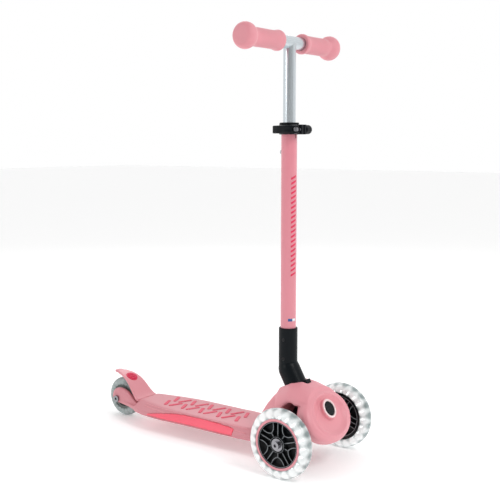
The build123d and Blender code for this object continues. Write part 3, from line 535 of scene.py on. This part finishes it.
def bead(points, radius, sides=8):
    """Verts and faces of a closed round bead along a path of 3-D points."""
    points = [Vector(p) for p in points]
    verts, faces = [], []
    for i, point in enumerate(points):
        ahead = (points[min(i + 1, len(points) - 1)] - points[max(i - 1, 0)]).normalized()
        first = ahead.cross(ACROSS)
        first = (first if first.length > 0.1 else ahead.cross(Vector((1, 0, 0)))).normalized()
        second = ahead.cross(first)
        for k in range(sides):
            turn = 2 * math.pi * k / sides
            verts.append(point + radius * (math.cos(turn) * first + math.sin(turn) * second))
    for i in range(len(points) - 1):
        for k in range(sides):
            a, b = i * sides + k, i * sides + (k + 1) % sides
            faces.append((a, b, b + sides, a + sides))
    faces.append(tuple(range(sides)))
    faces.append(tuple(range(len(verts) - sides, len(verts))))
    return verts, faces


def wall(points, half, low, high):
    """Verts and faces of an upright wall that follows a path of (x, z) points, from y low to y high."""
    flat = [Vector(p) for p in points]
    verts, faces = [], []
    for i, point in enumerate(flat):
        ahead = (flat[min(i + 1, len(flat) - 1)] - flat[max(i - 1, 0)]).normalized()
        side = Vector((-ahead.y, ahead.x)) * half
        for edge, y in ((side, low), (-side, low), (-side, high), (side, high)):
            verts.append((point.x + edge.x, y, point.y + edge.y))
    for i in range(len(flat) - 1):
        for k in range(4):
            a, b = i * 4 + k, i * 4 + (k + 1) % 4
            faces.append((a, b, b + 4, a + 4))
    faces.append((0, 1, 2, 3))
    faces.append(tuple(len(verts) - 4 + k for k in range(4)))
    return verts, faces


def join_lists(parts):
    """One pair of lists from many."""
    verts, faces = [], []
    for some_verts, some_faces in parts:
        base = len(verts)
        verts += list(some_verts)
        faces += [tuple(i + base for i in face) for face in some_faces]
    return verts, faces


print("helpers: rounded, bead, wall, join_lists")

# %% [markdown]
# ## Soft shells melted from hard solids
# The deck, the front housing and the brake are injection mouldings, with generous radii everywhere. Beveling a
# boolean solid in mesh code is fragile, so the solid is copied, rebuilt as even voxels and then relaxed. Every edge
# becomes a soft radius, and its size follows the number of rounds, which a mask may lower where detail stays crisp.

# %% Melt a solid


def solid_copy(node):
    """A merged copy of a CAD node's mesh."""
    mesh = nodes[node].data.copy()
    edited(mesh, lambda work: bmesh.ops.remove_doubles(work, verts=work.verts, dist=1e-6))
    return mesh


def relax(mesh, rounds, mask=None):
    """Moves every point towards its neighbours' mean, less where the mask is small."""
    co = np.empty(len(mesh.vertices) * 3)
    mesh.vertices.foreach_get("co", co)
    co = co.reshape(-1, 3)
    ends = np.empty(len(mesh.edges) * 2, int)
    mesh.edges.foreach_get("vertices", ends)
    one, two = ends[::2], ends[1::2]
    count = np.bincount(ends, minlength=len(co)).reshape(-1, 1)
    weight = 0.5 if mask is None else 0.5 * mask(co).reshape(-1, 1)
    for _ in range(rounds):
        total = np.stack([
            np.bincount(one, co[two, k], len(co)) + np.bincount(two, co[one, k], len(co)) for k in range(3)
        ], axis=1)
        co += weight * (total / count - co)
    mesh.vertices.foreach_set("co", co.ravel())
    mesh.update()


def melt(name, node, voxel, rounds, material, mask=None, extra=()):
    """A soft copy of a CAD node, with extra solids welded in first."""
    mesh = solid_copy(node)

    def weld(work):
        for verts, faces in extra:
            points = [work.verts.new(v) for v in verts]
            for face in faces:
                work.faces.new([points[i] for i in face])

    if extra:
        edited(mesh, weld)
    made = placed(name, mesh)
    remesh = made.modifiers.new("voxels", "REMESH")
    remesh.mode, remesh.voxel_size, remesh.adaptivity = "VOXEL", voxel, 0.0
    even = bpy.data.meshes.new_from_object(made.evaluated_get(bpy.context.evaluated_depsgraph_get()))
    made.modifiers.clear()
    made.data = even
    relax(even, rounds, mask)
    even.materials.clear()
    even.materials.append(material)
    even.shade_smooth()
    even.name = name
    print(name, "faces", len(even.polygons))
    return made


print("helpers: relax, melt")

# %% [markdown]
# Some shapes are welded in before a melt: a drum around the kingpin fills the dark arch over the axle, and an
# upright ring stands on the clamp. Each mould also has places to keep crisp, so a fade says how much to relax where.

# %% Shapes to weld in, and fades


def drum(centre, half, radius, steps=48):
    """Verts and faces of a drum about the kingpin, to weld into a melt."""
    turns = [2 * math.pi * k / steps for k in range(steps)]
    verts = [centre + reach * RAKE + radius * (math.cos(t) * ACROSS + math.sin(t) * SQUARE)
             for reach in (-half, half) for t in turns]
    faces = [tuple(reversed(range(steps))), tuple(range(steps, 2 * steps))]
    faces += [(k, (k + 1) % steps, steps + (k + 1) % steps, steps + k) for k in range(steps)]
    return verts, faces


def washer(base, inner, outer, height, steps=64):
    """Verts and faces of an upright ring standing on base."""
    verts, faces = [], []
    for k in range(steps):
        x, y = math.cos(2 * math.pi * k / steps), math.sin(2 * math.pi * k / steps)
        section = ((inner, 0), (outer, 0), (outer, height), (inner, height))
        verts += [base + Vector((r * x, r * y, z)) for r, z in section]
    for k in range(steps):
        a, b = 4 * k, 4 * ((k + 1) % steps)
        faces += [(a + n, a + (n + 1) % 4, b + (n + 1) % 4, b + n) for n in range(4)]
    return verts, faces


def dress(piece, body, slot, *replaced):
    """Says where a finished piece rides and which CAD nodes it stands for. The slot is not used."""
    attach(piece, body)
    if replaced:
        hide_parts(*replaced)
    return piece


def along(co):
    """How far points lie along the kingpin from the nose's face, in metres."""
    return (co - np.array(NOSE)) @ np.array(RAKE)


def fade(past, span, least):
    """A relaxing weight that climbs from least to one over a span."""
    return np.clip(past / span, least, 1.0)


print("helpers: drum, washer, fade")

# %% [markdown]
# ## Front housing
# The housing is the scooter's face: an oval nose with a dished front and a soft ridge around the dish, a bridge and
# a rear block. It is melted whole. Relaxing is held back at the nose, so the dish stays crisp, and the ridge is an
# oval bead welded in first.

# %% Front housing
NOSE_DEPTH, NOSE_BLEND, NOSE_KEEP = 0.012, 0.018, 0.08
DISH_BACK, DISH_DROP, DISH_WIDE, DISH_HIGH = 0.0052, 0.0096, 0.0476, 0.0377
DISH_RIM_R, FULL_TURN = 0.0024, 2.02 * math.pi  # a little over one turn, so that the ends overlap


def housing_mask(co):
    """Crisp at the dished nose, soft over the bridge and the rear block."""
    return fade(-along(co) - NOSE_DEPTH, NOSE_BLEND, NOSE_KEEP)


dish_centre = NOSE - DISH_BACK * RAKE - DISH_DROP * SQUARE
dish_rim = bead([dish_centre + DISH_WIDE * math.cos(t) * ACROSS + DISH_HIGH * math.sin(t) * SQUARE
                 for t in np.linspace(0, FULL_TURN, 97)], DISH_RIM_R)
housing = melt("housing_shell", "front_housing", 0.0013, 40, pink_plastic, housing_mask, extra=[dish_rim])

# %% [markdown]
# The lock button sinks into the nose when it is pressed, but melting narrows its bore. The points of the bore are
# pushed back out, and its floor is pushed down. A pale ring then covers the edge: its pale colour is a painted
# highlight for the light on the seat's glossy edge.

# %% Button seat and its painted highlight ring
BORE, SEAT_FLOOR, WALL_FOOT, KINGPIN_CLEAR = 0.0136, -0.0143, -0.0132, 0.006
HIGHLIGHT_RING_PROFILE = [(13.3, -4), (13.3, -0.4), (13.9, 0.2), (15.6, 0.3), (16.8, -0.2), (17.2, -1.4), (17.2, -5)]


def clear_button_seat(mesh):
    """Opens the melted bore around the lock button, so that the button can be pressed in."""
    co = np.array([vert.co for vert in mesh.vertices])
    depth = along(co)
    spoke = co - np.array(NOSE) - depth[:, None] * np.array(RAKE)
    radius = np.linalg.norm(spoke, axis=1)
    side = (depth > WALL_FOOT) & (radius < BORE) & (radius > KINGPIN_CLEAR)
    co[side] += spoke[side] * (BORE / radius[side] - 1)[:, None]
    floor = (depth > SEAT_FLOOR) & (depth <= WALL_FOOT) & (radius < BORE)
    co[floor] -= (depth[floor] - SEAT_FLOOR)[:, None] * np.array(RAKE)
    mesh.vertices.foreach_set("co", co.ravel())
    mesh.update()
    print("button seat", int(side.sum()), "wall points", int(floor.sum()), "floor points")


clear_button_seat(housing.data)
dress(housing, "frame", "pink_plastic", "front_housing")
# The ring's pale colour is a painted highlight on the edge of the button's seat.
highlight_ring = lathe("button_highlight_ring", [(r * MM, y * MM) for r, y in HIGHLIGHT_RING_PROFILE], NOSE, painted_highlight_pink, axis=RAKE)
dress(highlight_ring, "frame", "pink_plastic")

# %% [markdown]
# ## Deck
# The deck is a hollow moulding with a soft crown and a flat step along each flank for the coral strips. Its pattern
# pocket is filled before melting, because the bars of the pattern are a part of their own and must stay flush.

# %% Deck
POCKET_GROW, POCKET_SINK = 0.002, 0.0008
FLANK_TOP, FLANK_BLEND, FLANK_KEEP = 0.041, 0.006, 0.12


def plug(low, high):
    """A plain block, to fill a pocket before melting."""
    x0, y0, z0 = low
    x1, y1, z1 = high
    verts = [(x0, y0, z0), (x1, y0, z0), (x1, y1, z0), (x0, y1, z0),
             (x0, y0, z1), (x1, y0, z1), (x1, y1, z1), (x0, y1, z1)]
    faces = [(0, 3, 2, 1), (4, 5, 6, 7), (0, 1, 5, 4), (1, 2, 6, 5), (2, 3, 7, 6), (3, 0, 4, 7)]
    return verts, faces


bars_low, bars_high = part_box("deck_grip_pattern")
fill = plug((bars_low.x - POCKET_GROW, bars_low.y - POCKET_GROW, bars_low.z - POCKET_GROW),
            (bars_high.x + POCKET_GROW, bars_high.y + POCKET_GROW, bars_high.z - POCKET_SINK))


def deck_mask(co):
    """Soft along the crown and crisp at the flanks, where the strips sit."""
    return fade(co[:, 2] - FLANK_TOP, FLANK_BLEND, FLANK_KEEP)


deck_shell = melt("deck_shell", "deck", 0.0014, 40, deck_painted_shade_pink, deck_mask, extra=[fill])
dress(deck_shell, "frame", "pink_plastic", "deck")

# %% [markdown]
# ## Brake and neck
# The brake is a thin blade that a foot presses, so it keeps a finer voxel. The neck is glass-filled nylon, bent once
# above the housing: its elbow is relaxed into one smooth bend, and the sleeve with its screw recesses stays crisp.

# %% Brake and neck
SLEEVE_FOOT, ELBOW_BLEND, ELBOW_KEEP = 0.002, 0.012, 0.1
brake_shell = melt("brake_shell", "brake", 0.0008, 12, pink_plastic)
dress(brake_shell, "brake", "pink_plastic", "brake")
neck_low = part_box("neck_screws")[0].z


def neck_mask(co):
    """Soft at the elbow, crisp at the sleeve with its screw recesses."""
    return fade(neck_low - SLEEVE_FOOT - co[:, 2], ELBOW_BLEND, ELBOW_KEEP)


neck_shell = melt("neck_shell", "neck", 0.0009, 90, black_plastic, neck_mask)
dress(neck_shell, "frame", "black_plastic", "neck")

# %% [markdown]
# ## Small black parts and the strips
# The quick-release lever has two ribs for the thumb, and the collar has a cuff that grips the tube. The axle carrier
# gets a round drum about the kingpin, so that it fills the arch at every steering angle. The strips are soft inlays
# in the deck's flanks.

# %% Clamp, carrier, button, catch and strips
RIB_PATH, RIB_R, RIB_HALF = [(-6, -8.4), (-16, -10.2), (-30, -9.8), (-41, -6.4)], 0.0033, 3.8
CUFF_SINK, CUFF_INNER, CUFF_OUTER, CUFF_HEIGHT = 0.001, 0.0114, 0.0172, 0.0046
LINER_HALF, LINER_R = 0.0145, 0.0275
cam = middle("cam_pin")
ribs = [bead([(cam.x + x * MM, cam.y + y * MM, cam.z + z * MM) for x, y in RIB_PATH], RIB_R)
        for z in (-RIB_HALF, RIB_HALF)]
collar_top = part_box("clamp_collar")[1].z
cuff = washer(Vector((COLUMN.x, 0, collar_top - CUFF_SINK)), CUFF_INNER, CUFF_OUTER, CUFF_HEIGHT)
liner = drum(NOSE - NOSE_REACH * RAKE, LINER_HALF, LINER_R)
# Each row: CAD node, body, voxel size, rounds of relaxing, and what is welded in.
SMALL = (("clamp_collar", "frame", 0.0004, 14, [cuff]), ("clamp_lever", "clamp_lever", 0.0004, 70, ribs),
         ("clamp_nut", "frame", 0.0004, 6, []), ("axle_carrier", "axle_carrier", 0.0010, 16, [liner]),
         ("lock_button", "lock_button", 0.0004, 6, []), ("release_catch", "release_catch", 0.0003, 8, []))
for node, body, voxel, rounds, extra in SMALL:
    dress(melt(node + "_soft", node, voxel, rounds, black_plastic, extra=extra), body, "black_plastic", node)
for side in ("right", "left"):
    strip = melt(f"strip_inlay_{side}", f"side_strip_{side}", 0.0008, 8, coral_plastic)
    dress(strip, "frame", "coral_plastic", f"side_strip_{side}")

# %% [markdown]
# ## Lines and a patch that follow the mouldings
# Two fine ridges run along each shoulder of the deck, and a round patch backs the three bars on the brake. Both
# follow a surface that was melted, so their points are dropped onto it with rays, then lifted by a hair.

# %% Deck ridges


def surface_tree(piece):
    """A search tree over a piece's surface."""
    work = bmesh.new()
    work.from_mesh(piece.data)
    tree = BVHTree.FromBMesh(work)
    work.free()
    return tree


def dropped(tree, start, way, lift):
    """Where a ray meets the surface, lifted back along its way."""
    hit = tree.ray_cast(start, way)[0]
    return None if hit is None else hit - way * lift


# The shoulder of the deck, as distance behind the front axle and half width.
SHOULDER = [(-0.112, 0.0495), (-0.150, 0.0508), (-0.200, 0.0515), (-0.250, 0.0520), (-0.300, 0.0508),
            (-0.340, 0.0470), (-0.372, 0.0405)]
DOWN, ABOVE_DECK, RIDGE_GAP, RIDGE_R, RIDGE_SINK = Vector((0, 0, -1)), 0.09, 0.0052, 0.0008, 0.0001
deck_tree = surface_tree(deck_shell)
fit = np.polyfit([p[0] for p in SHOULDER], [p[1] for p in SHOULDER], 4)
ridges = []
for inset in (0.0, RIDGE_GAP):
    for flank in (1, -1):
        starts = [Vector((AXLE_RIGHT.x + x, flank * (np.polyval(fit, x) - inset), ABOVE_DECK))
                  for x in np.linspace(SHOULDER[0][0], SHOULDER[-1][0], 60)]
        path = [dropped(deck_tree, start, DOWN, -RIDGE_SINK) for start in starts]
        ridges.append(bead([p for p in path if p is not None], RIDGE_R))
dress(new_piece("deck_ridges", *join_lists(ridges), pink_plastic), "frame", "pink_plastic")
print("deck ridges", len(ridges))

# %% [markdown]
# The patch on the brake is a thin printed disc. Rings of points are dropped along the brake's lean, once a little
# above the surface and once a little below, and the two layers are closed at the edge.

# %% The brake's patch
LEAN = Vector((0.49, 0, 0.87)).normalized()
SLOPE = Vector((LEAN.z, 0, -LEAN.x))
RINGS, PATCH_STEPS, PATCH_R, PATCH_RISE, PATCH_SINK, PATCH_START = 6, 48, 0.0122, 0.0004, -0.0006, 0.03
badge_mid = middle("brake_badge")
brake_tree = surface_tree(brake_shell)
verts, faces = [], []
for layer in (PATCH_RISE, PATCH_SINK):
    verts.append(dropped(brake_tree, badge_mid + LEAN * PATCH_START, -LEAN, layer))
    for ring in range(1, RINGS + 1):
        for k in range(PATCH_STEPS):
            turn = 2 * math.pi * k / PATCH_STEPS
            out = PATCH_R * ring / RINGS * (math.cos(turn) * SLOPE + math.sin(turn) * ACROSS)
            verts.append(dropped(brake_tree, badge_mid + LEAN * PATCH_START + out, -LEAN, layer))
half = len(verts) // 2
for base in (0, half):
    for k in range(PATCH_STEPS):
        n = (k + 1) % PATCH_STEPS
        faces.append((base, base + 1 + k, base + 1 + n))
        for ring in range(RINGS - 1):
            a = base + 1 + ring * PATCH_STEPS
            faces.append((a + k, a + PATCH_STEPS + k, a + PATCH_STEPS + n, a + n))
edge = 1 + (RINGS - 1) * PATCH_STEPS
faces += [(edge + k, edge + (k + 1) % PATCH_STEPS, half + edge + (k + 1) % PATCH_STEPS, half + edge + k)
          for k in range(PATCH_STEPS)]
dress(new_piece("brake_patch", verts, faces, hot_pink), "brake", "hot_pink_plastic")
print("brake patch points", len(verts))

# %% [markdown]
# ## Repeating with Geometry Nodes
# A wheel has five lobes and twenty lamps, and the column has a row of marks. One tree turns a motif about an axle,
# and another steps it along a line. Both take named inputs, realise their instances and set the material.

# %% Two repeat trees


def repeat_tree(name, turning):
    """A tree that repeats a motif, turned about Y or moved in a line, by a step for each copy."""
    tree = bpy.data.node_groups.new(name, "GeometryNodeTree")
    face = tree.interface
    for label, kind in (("Motif", "Geometry"), ("Count", "Int"), ("Step", "Vector"), ("Centre", "Vector"),
                        ("Finish", "Material")):
        face.new_socket(name=label, in_out="INPUT", socket_type="NodeSocket" + kind)
    face.new_socket(name="Result", in_out="OUTPUT", socket_type="NodeSocketGeometry")
    given = node_of(tree, "NodeGroupInput")
    out = node_of(tree, "NodeGroupOutput")
    points = node_of(tree, "GeometryNodeMeshLine")
    points.inputs["Offset"].default_value = (0, 0, 0)
    place = node_of(tree, "GeometryNodeInstanceOnPoints")
    index = node_of(tree, "GeometryNodeInputIndex")
    scaled = node_of(tree, "VectorMath", operation="SCALE")
    kind = "GeometryNodeRotateInstances" if turning else "GeometryNodeTranslateInstances"
    move = node_of(tree, kind)
    move.inputs["Local Space"].default_value = False
    real = node_of(tree, "GeometryNodeRealizeInstances")
    paint = node_of(tree, "GeometryNodeSetMaterial")
    wire(tree, (given, "Count", points, "Count"), (points, "Mesh", place, "Points"),
               (given, "Motif", place, "Instance"), (given, "Step", scaled, 0), (index, "Index", scaled, "Scale"),
               (place, "Instances", move, "Instances"),
               (scaled, "Vector", move, "Rotation" if turning else "Translation"))
    if turning:
        wire(tree, (given, "Centre", move, "Pivot Point"))
    wire(tree, (move, "Instances", real, "Geometry"), (real, "Geometry", paint, "Geometry"),
               (given, "Finish", paint, "Material"), (paint, "Geometry", out, "Result"))
    return tree


AROUND, ALONG = repeat_tree("repeat_around_axle", True), repeat_tree("repeat_along_line", False)
print("trees", AROUND.name, ALONG.name)

# %% [markdown]
# A tree is of use only once it is applied. The modifier's inputs are set by their socket identifiers, the evaluated
# result becomes the piece's own plain mesh, and the modifier goes.

# %% Applying a repeat


def repeated(piece, tree, count, step, centre=(0, 0, 0)):
    """Runs a repeat tree on a motif and keeps the result as a plain mesh."""
    material = piece.data.materials[0]
    modifier = piece.modifiers.new("repeat", "NODES")
    modifier.node_group = tree
    values = {"Count": count, "Step": step, "Centre": tuple(centre), "Finish": material}
    for item in tree.interface.items_tree:
        if item.in_out == "INPUT" and item.name in values:
            modifier[item.identifier] = values[item.name]
    result = bpy.data.meshes.new_from_object(piece.evaluated_get(bpy.context.evaluated_depsgraph_get()))
    piece.modifiers.clear()
    piece.data = result
    print(piece.name, "faces", len(result.polygons))
    return piece


print("helpers: repeated")

# %% [markdown]
# ## Front wheels
# The tyre is one turned ring of clear urethane, cast onto the core. Its section is a flat-sided round: a few points
# of it are joined by a smooth curve, and the lathe gives it the UV map that the lit finish reads.

# %% Tyres
TYRE = [(44.5, -10.6), (45.6, -11.8), (50.0, -12.0), (54.5, -10.8), (58.2, -7.8), (60.1, -3.8), (60.5, 0),
        (60.1, 3.8), (58.2, 7.8), (54.5, 10.8), (50.0, 12.0), (45.6, 11.8), (44.5, 10.6), (44.5, 0)]


def dense(profile, per_span=3):
    """A smooth closed profile through these points, by Catmull-Rom, in metres."""
    result = []
    count = len(profile)
    for i in range(count):
        a, b, c, d = (np.array(profile[(i + k) % count], float) for k in (-1, 0, 1, 2))
        for k in range(per_span):
            t = k / per_span
            point = 0.5 * (2 * b + (c - a) * t + (2 * a - 5 * b + 4 * c - d) * t ** 2
                           + (3 * b - a - 3 * c + d) * t ** 3)
            result.append(tuple(point * MM))
    return result


for side, axle in (("right", AXLE_RIGHT), ("left", AXLE_LEFT)):
    tyre = lathe(f"lit_tyre_{side}", dense(TYRE), axle, lit_tyre)
    dress(tyre, f"wheel_front_{side}", "clear_tyre", f"tyre_{side}")
    print(tyre.name, "faces", len(tyre.data.polygons))

# %% [markdown]
# The core is a black dish with five wine-glass spokes and five straight ones between them. Each spoke is a black
# wall with a thin pale bead along its crest, a painted highlight for the light its edge catches, and one fifth of
# the wheel is drawn and then repeated.

# %% Cores
SPOKES, HUB_R, RIM_R = 5, 14.0, 38.2
SPOKE_CREST, WEB = 8.4, 2.0
LOBE_STEM, LOBE = 22.0, [(22.0, 0), (23.6, 9), (27.0, 16), (32.0, 19.5), (38.0, 20.5)]
DISH = [(HUB_R - 1, -3), (HUB_R - 1, 3), (20, WEB), (RIM_R - 3, WEB), (RIM_R, 6), (RIM_R, 10.2), (39.6, 11.0),
        (44.2, 11.0), (44.2, -11.0), (39.6, -11.0), (RIM_R, -10.2), (RIM_R, -6), (RIM_R - 3, -WEB), (20, -WEB)]
HUB = [(10.9, -11.4), (10.9, 11.4), (12.4, 12.0), (13.6, 11.4), (HUB_R, 9.5), (HUB_R + 1.5, 4.5),
       (HUB_R + 1.5, -4.5), (HUB_R, -9.5), (13.6, -11.4), (12.4, -12.0)]
SPOKE_HALF, CREST_R, LINE_R = 1.1, 0.75, 0.55
# Each row: name, radius and distance from the wheel's middle of a pale line, a painted highlight on an edge.
LINES = (("hub", HUB_R - 0.6, 10.9), ("rim", RIM_R + 0.4, 10.4))


def polar(axle, r, degrees):
    """A point (x, z) at a radius in mm and an angle about an axle."""
    return (axle.x + r * MM * math.cos(math.radians(degrees)), axle.z + r * MM * math.sin(math.radians(degrees)))


def spoke_paths(axle, turn):
    """The centre lines of one fifth of the wheel: a stem with two arms, and a straight spoke."""
    half = 180 / SPOKES
    stem = [polar(axle, r, turn) for r in (HUB_R, 18, LOBE_STEM)]
    right = [polar(axle, r, turn + a) for r, a in LOBE]
    left = [polar(axle, r, turn - a) for r, a in LOBE]
    straight = [polar(axle, r, turn + half) for r in (HUB_R, 20, 26, 32, RIM_R)]
    return [stem, right, left, straight]


for side, axle, turn in (("right", AXLE_RIGHT, 54.0), ("left", AXLE_LEFT, 20.0)):
    body = f"wheel_front_{side}"
    dish = lathe(f"core_dish_{side}", [(r * MM, y * MM) for r, y in rounded(DISH, 0.8)], axle, black_plastic)
    dress(dish, body, "black_plastic", f"core_{side}")
    hub = lathe(f"core_hub_{side}", [(r * MM, y * MM) for r, y in rounded(HUB, 0.5)], axle, black_plastic)
    dress(hub, body, "black_plastic")
    walls, beads = [], []
    for path in spoke_paths(axle, turn):
        walls.append(wall(path, SPOKE_HALF * MM, axle.y - SPOKE_CREST * MM, axle.y + SPOKE_CREST * MM))
        for face_y in (axle.y - SPOKE_CREST * MM, axle.y + SPOKE_CREST * MM):
            beads.append(bead([(x, face_y, z) for x, z in path], CREST_R * MM))
    step = (0, 2 * math.pi / SPOKES, 0)
    spokes = new_piece(f"core_spokes_{side}", *join_lists(walls), black_plastic, smooth=False)
    dress(repeated(spokes, AROUND, SPOKES, step, axle), body, "black_plastic")
    # The crests and rings are pale: a painted highlight for the light caught on the rib edges.
    crests = new_piece(f"core_crests_{side}", *join_lists(beads), painted_edge_highlight)
    dress(repeated(crests, AROUND, SPOKES, step, axle), body, "silver_aluminium")
    for name, r, face_y in LINES:
        lines = []
        for outward in (-1, 1):
            y = axle.y + outward * face_y * MM
            ring = [polar(axle, r, a) for a in range(0, 364, 6)]
            lines.append(bead([(x, y, z) for x, z in ring], LINE_R * MM))
        dress(new_piece(f"core_{name}_line_{side}", *join_lists(lines), painted_edge_highlight), body, "silver_aluminium")

# %% [markdown]
# The magnet in a real core lights small diodes as the wheel turns, with no battery. They sit just inside the tyre's
# inner edge, so each is a short bead there, and the repeat tree sets one at each patch of the tyre.

# %% Lamps inside the tyres
LAMP_OUT, LAMP_HALF, LAMP_R = 0.0458, 0.003, 0.0011
for side, axle in (("right", AXLE_RIGHT), ("left", AXLE_LEFT)):
    points = [(axle.x + LAMP_OUT, axle.y + way * LAMP_HALF, axle.z) for way in (-1, 1)]
    lamps = new_piece(f"lamps_{side}", *bead(points, LAMP_R), lamp_glass)
    repeated(lamps, AROUND, LAMPS, (0, 2 * math.pi / LAMPS, 0), axle)
    dress(lamps, f"wheel_front_{side}", "light", f"light_ring_{side}")

# %% [markdown]
# ## Rear wheel
# The small rear wheel runs under the brake and has no lamps. Its tyre is the same urethane in a smoky tone, on a
# section of its own.

# %% Rear wheel
REAR_TYRE = [(25.0, -9.5), (26.5, -10.8), (31.0, -11.0), (35.5, -9.2), (38.8, -5.8), (40.0, 0), (38.8, 5.8),
             (35.5, 9.2), (31.0, 11.0), (26.5, 10.8), (25.0, 9.5), (25.0, 0)]
rear_tyre = lathe("rear_tyre_ring", dense(REAR_TYRE), AXLE_REAR, smoke_tyre)
dress(rear_tyre, "wheel_rear", "smoke_tyre", "tyre_rear")
print(rear_tyre.name, "faces", len(rear_tyre.data.polygons))

# %% [markdown]
# ## Grips
# Each grip is one soft moulding: a thin flange by the column, a waisted palm and a round bumper at the end. Its skin
# carries a fine field of raised dots, which a repeat tree steps around the bar.

# %% Grips and their dots
GRIP = [(11.02, 36.0), (11.02, 34.6), (11.5, 34.1), (12.5, 34.0), (15.8, 34.0), (17.0, 34.7), (17.6, 36.2),
        (17.7, 39.0), (17.2, 41.2), (16.2, 42.8), (15.7, 46), (15.4, 54), (15.3, 68), (15.4, 84), (15.5, 98),
        (15.1, 106), (14.6, 111), (15.0, 114), (17.6, 116.6), (20.4, 120), (21.8, 124.5), (22.0, 128.5), (21.4, 132.5),
        (19.6, 136.0), (16.6, 138.6), (12.0, 139.8), (6.0, 140.0), (0.0, 140.0), (0.0, 125.0), (10.6, 125.0),
        (11.1, 124.4)]
PALM = GRIP[9:17]
DOT_ROWS, DOTS_AROUND, DOT_START, DOT_GAP, DOT_STAGGER = 22, 36, 47, 2.6, 5.0
DOT_SINK, DOT_RISE, DOT_R = 0.0004, 0.0003, 0.0006


def grip(side, sign):
    """One soft grip on its side of the bar, and its field of dots."""
    centre = Vector((BAR.x, 0, BAR.z))
    profile = [(r * MM, sign * y * MM) for r, y in GRIP]
    made = lathe(f"soft_grip_{side}", profile, centre, pink_rubber, steps=96)
    subdivide = made.modifiers.new("round", "SUBSURF")
    subdivide.levels = subdivide.render_levels = 1
    dress(made, "handlebar", "pink_rubber", f"grip_{side}")
    dots = []
    for row in range(DOT_ROWS):
        y = DOT_START + row * DOT_GAP
        r = np.interp(y, [p[1] for p in PALM], [p[0] for p in PALM])
        turn = math.radians(DOT_STAGGER if row % 2 else 0.0)
        x, z = r * math.cos(turn) * MM, r * math.sin(turn) * MM
        axis = Vector((math.cos(turn), 0, math.sin(turn)))
        base = Vector((BAR.x + x, sign * y * MM, BAR.z + z))
        dots.append(bead([base - axis * DOT_SINK, base + axis * DOT_RISE], DOT_R, sides=5))
    field = new_piece(f"grip_dots_{side}", *join_lists(dots), pink_rubber)
    repeated(field, AROUND, DOTS_AROUND, (0, 2 * math.pi / DOTS_AROUND, 0), centre)
    dress(field, "handlebar", "pink_rubber")


grip("right", -1)
grip("left", 1)

# %% [markdown]
# ## Marks on the tube
# The column carries a printed row of plain marks. A print has no thickness to speak of, so each mark is a thin
# curved patch, a tenth of a millimetre proud of the paint, bent around the tube.

# %% Tube marks and label
TUBE_R = (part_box("lower_tube")[1].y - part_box("lower_tube")[0].y) / 2
PRINT_SINK, PRINT_PROUD = 0.0002, 0.00012
MARKS, MARK_GAP, MARK_LOW, MARK_HIGH, MARK_SLANT = 21, 0.0085, 0.330, 0.3336, 0.005
LABEL_LOW, LABEL_HIGH = 0.2495, 0.2545


def tube_patch(z0, z1, from_deg, to_deg, slant=0.0, steps=12):
    """A thin curved patch on the tube between two heights and two compass angles."""
    verts, faces = [], []
    for k in range(steps + 1):
        angle = math.radians(from_deg + (to_deg - from_deg) * k / steps)
        lift = slant * k / steps
        for r in (TUBE_R - PRINT_SINK, TUBE_R + PRINT_PROUD):
            for z in (z0, z1):
                verts.append((COLUMN.x + r * math.cos(angle), r * math.sin(angle), z + lift))
    for k in range(steps):
        a = k * 4
        faces += [(a, a + 4, a + 5, a + 1), (a + 2, a + 3, a + 7, a + 6),
                  (a, a + 2, a + 6, a + 4), (a + 1, a + 5, a + 7, a + 3)]
    faces += [(0, 1, 3, 2), (4 * steps, 4 * steps + 2, 4 * steps + 3, 4 * steps + 1)]
    return verts, faces


mark = new_piece("tube_marks", *tube_patch(MARK_LOW, MARK_HIGH, -40, 2, slant=MARK_SLANT), hot_pink)
dress(repeated(mark, ALONG, MARKS, (0, 0, MARK_GAP)), "frame", "hot_pink_plastic")
for name, start, end, ink in (("tube_label_dark", -58, -25, label_blue), ("tube_label_light", -25, 2, label_white)):
    dress(new_piece(name, *tube_patch(LABEL_LOW, LABEL_HIGH, start, end), ink), "frame", "pink_paint")

# %% [markdown]
# ## Parts that stay as designed
# Fasteners, tubes, bearings and springs already have their true shape, so they keep it and only get a finish. The
# slot that the design gives each part picks it. The crossbar is drawn along Y, so it has a metal of its own.

# %% Finishes of the parts that stay as designed
STAYS = {
    "pink_plastic": pink_plastic, "coral_plastic": coral_plastic, "hot_pink_plastic": hot_pink,
    "pink_paint": pink_paint, "black_steel": black_steel, "silver_aluminium": stem_metal, "pink_rubber": pink_rubber,
    "black_plastic": black_plastic, "grey_plastic": grey_plastic, "clear_tyre": lit_tyre,
    "smoke_tyre": smoke_tyre, "light": lamp_glass, "rubber": rubber, "bushing": acetal, "bright_steel": steel,
}
for part in frame["record"]["subparts"]:
    mesh = nodes[part["node"]].data
    mesh.materials.clear()
    mesh.materials.append(bar_metal if part["node"] == "crossbar" else STAYS[part["material_slot"]])
    print(part["node"], mesh.materials[0].name)
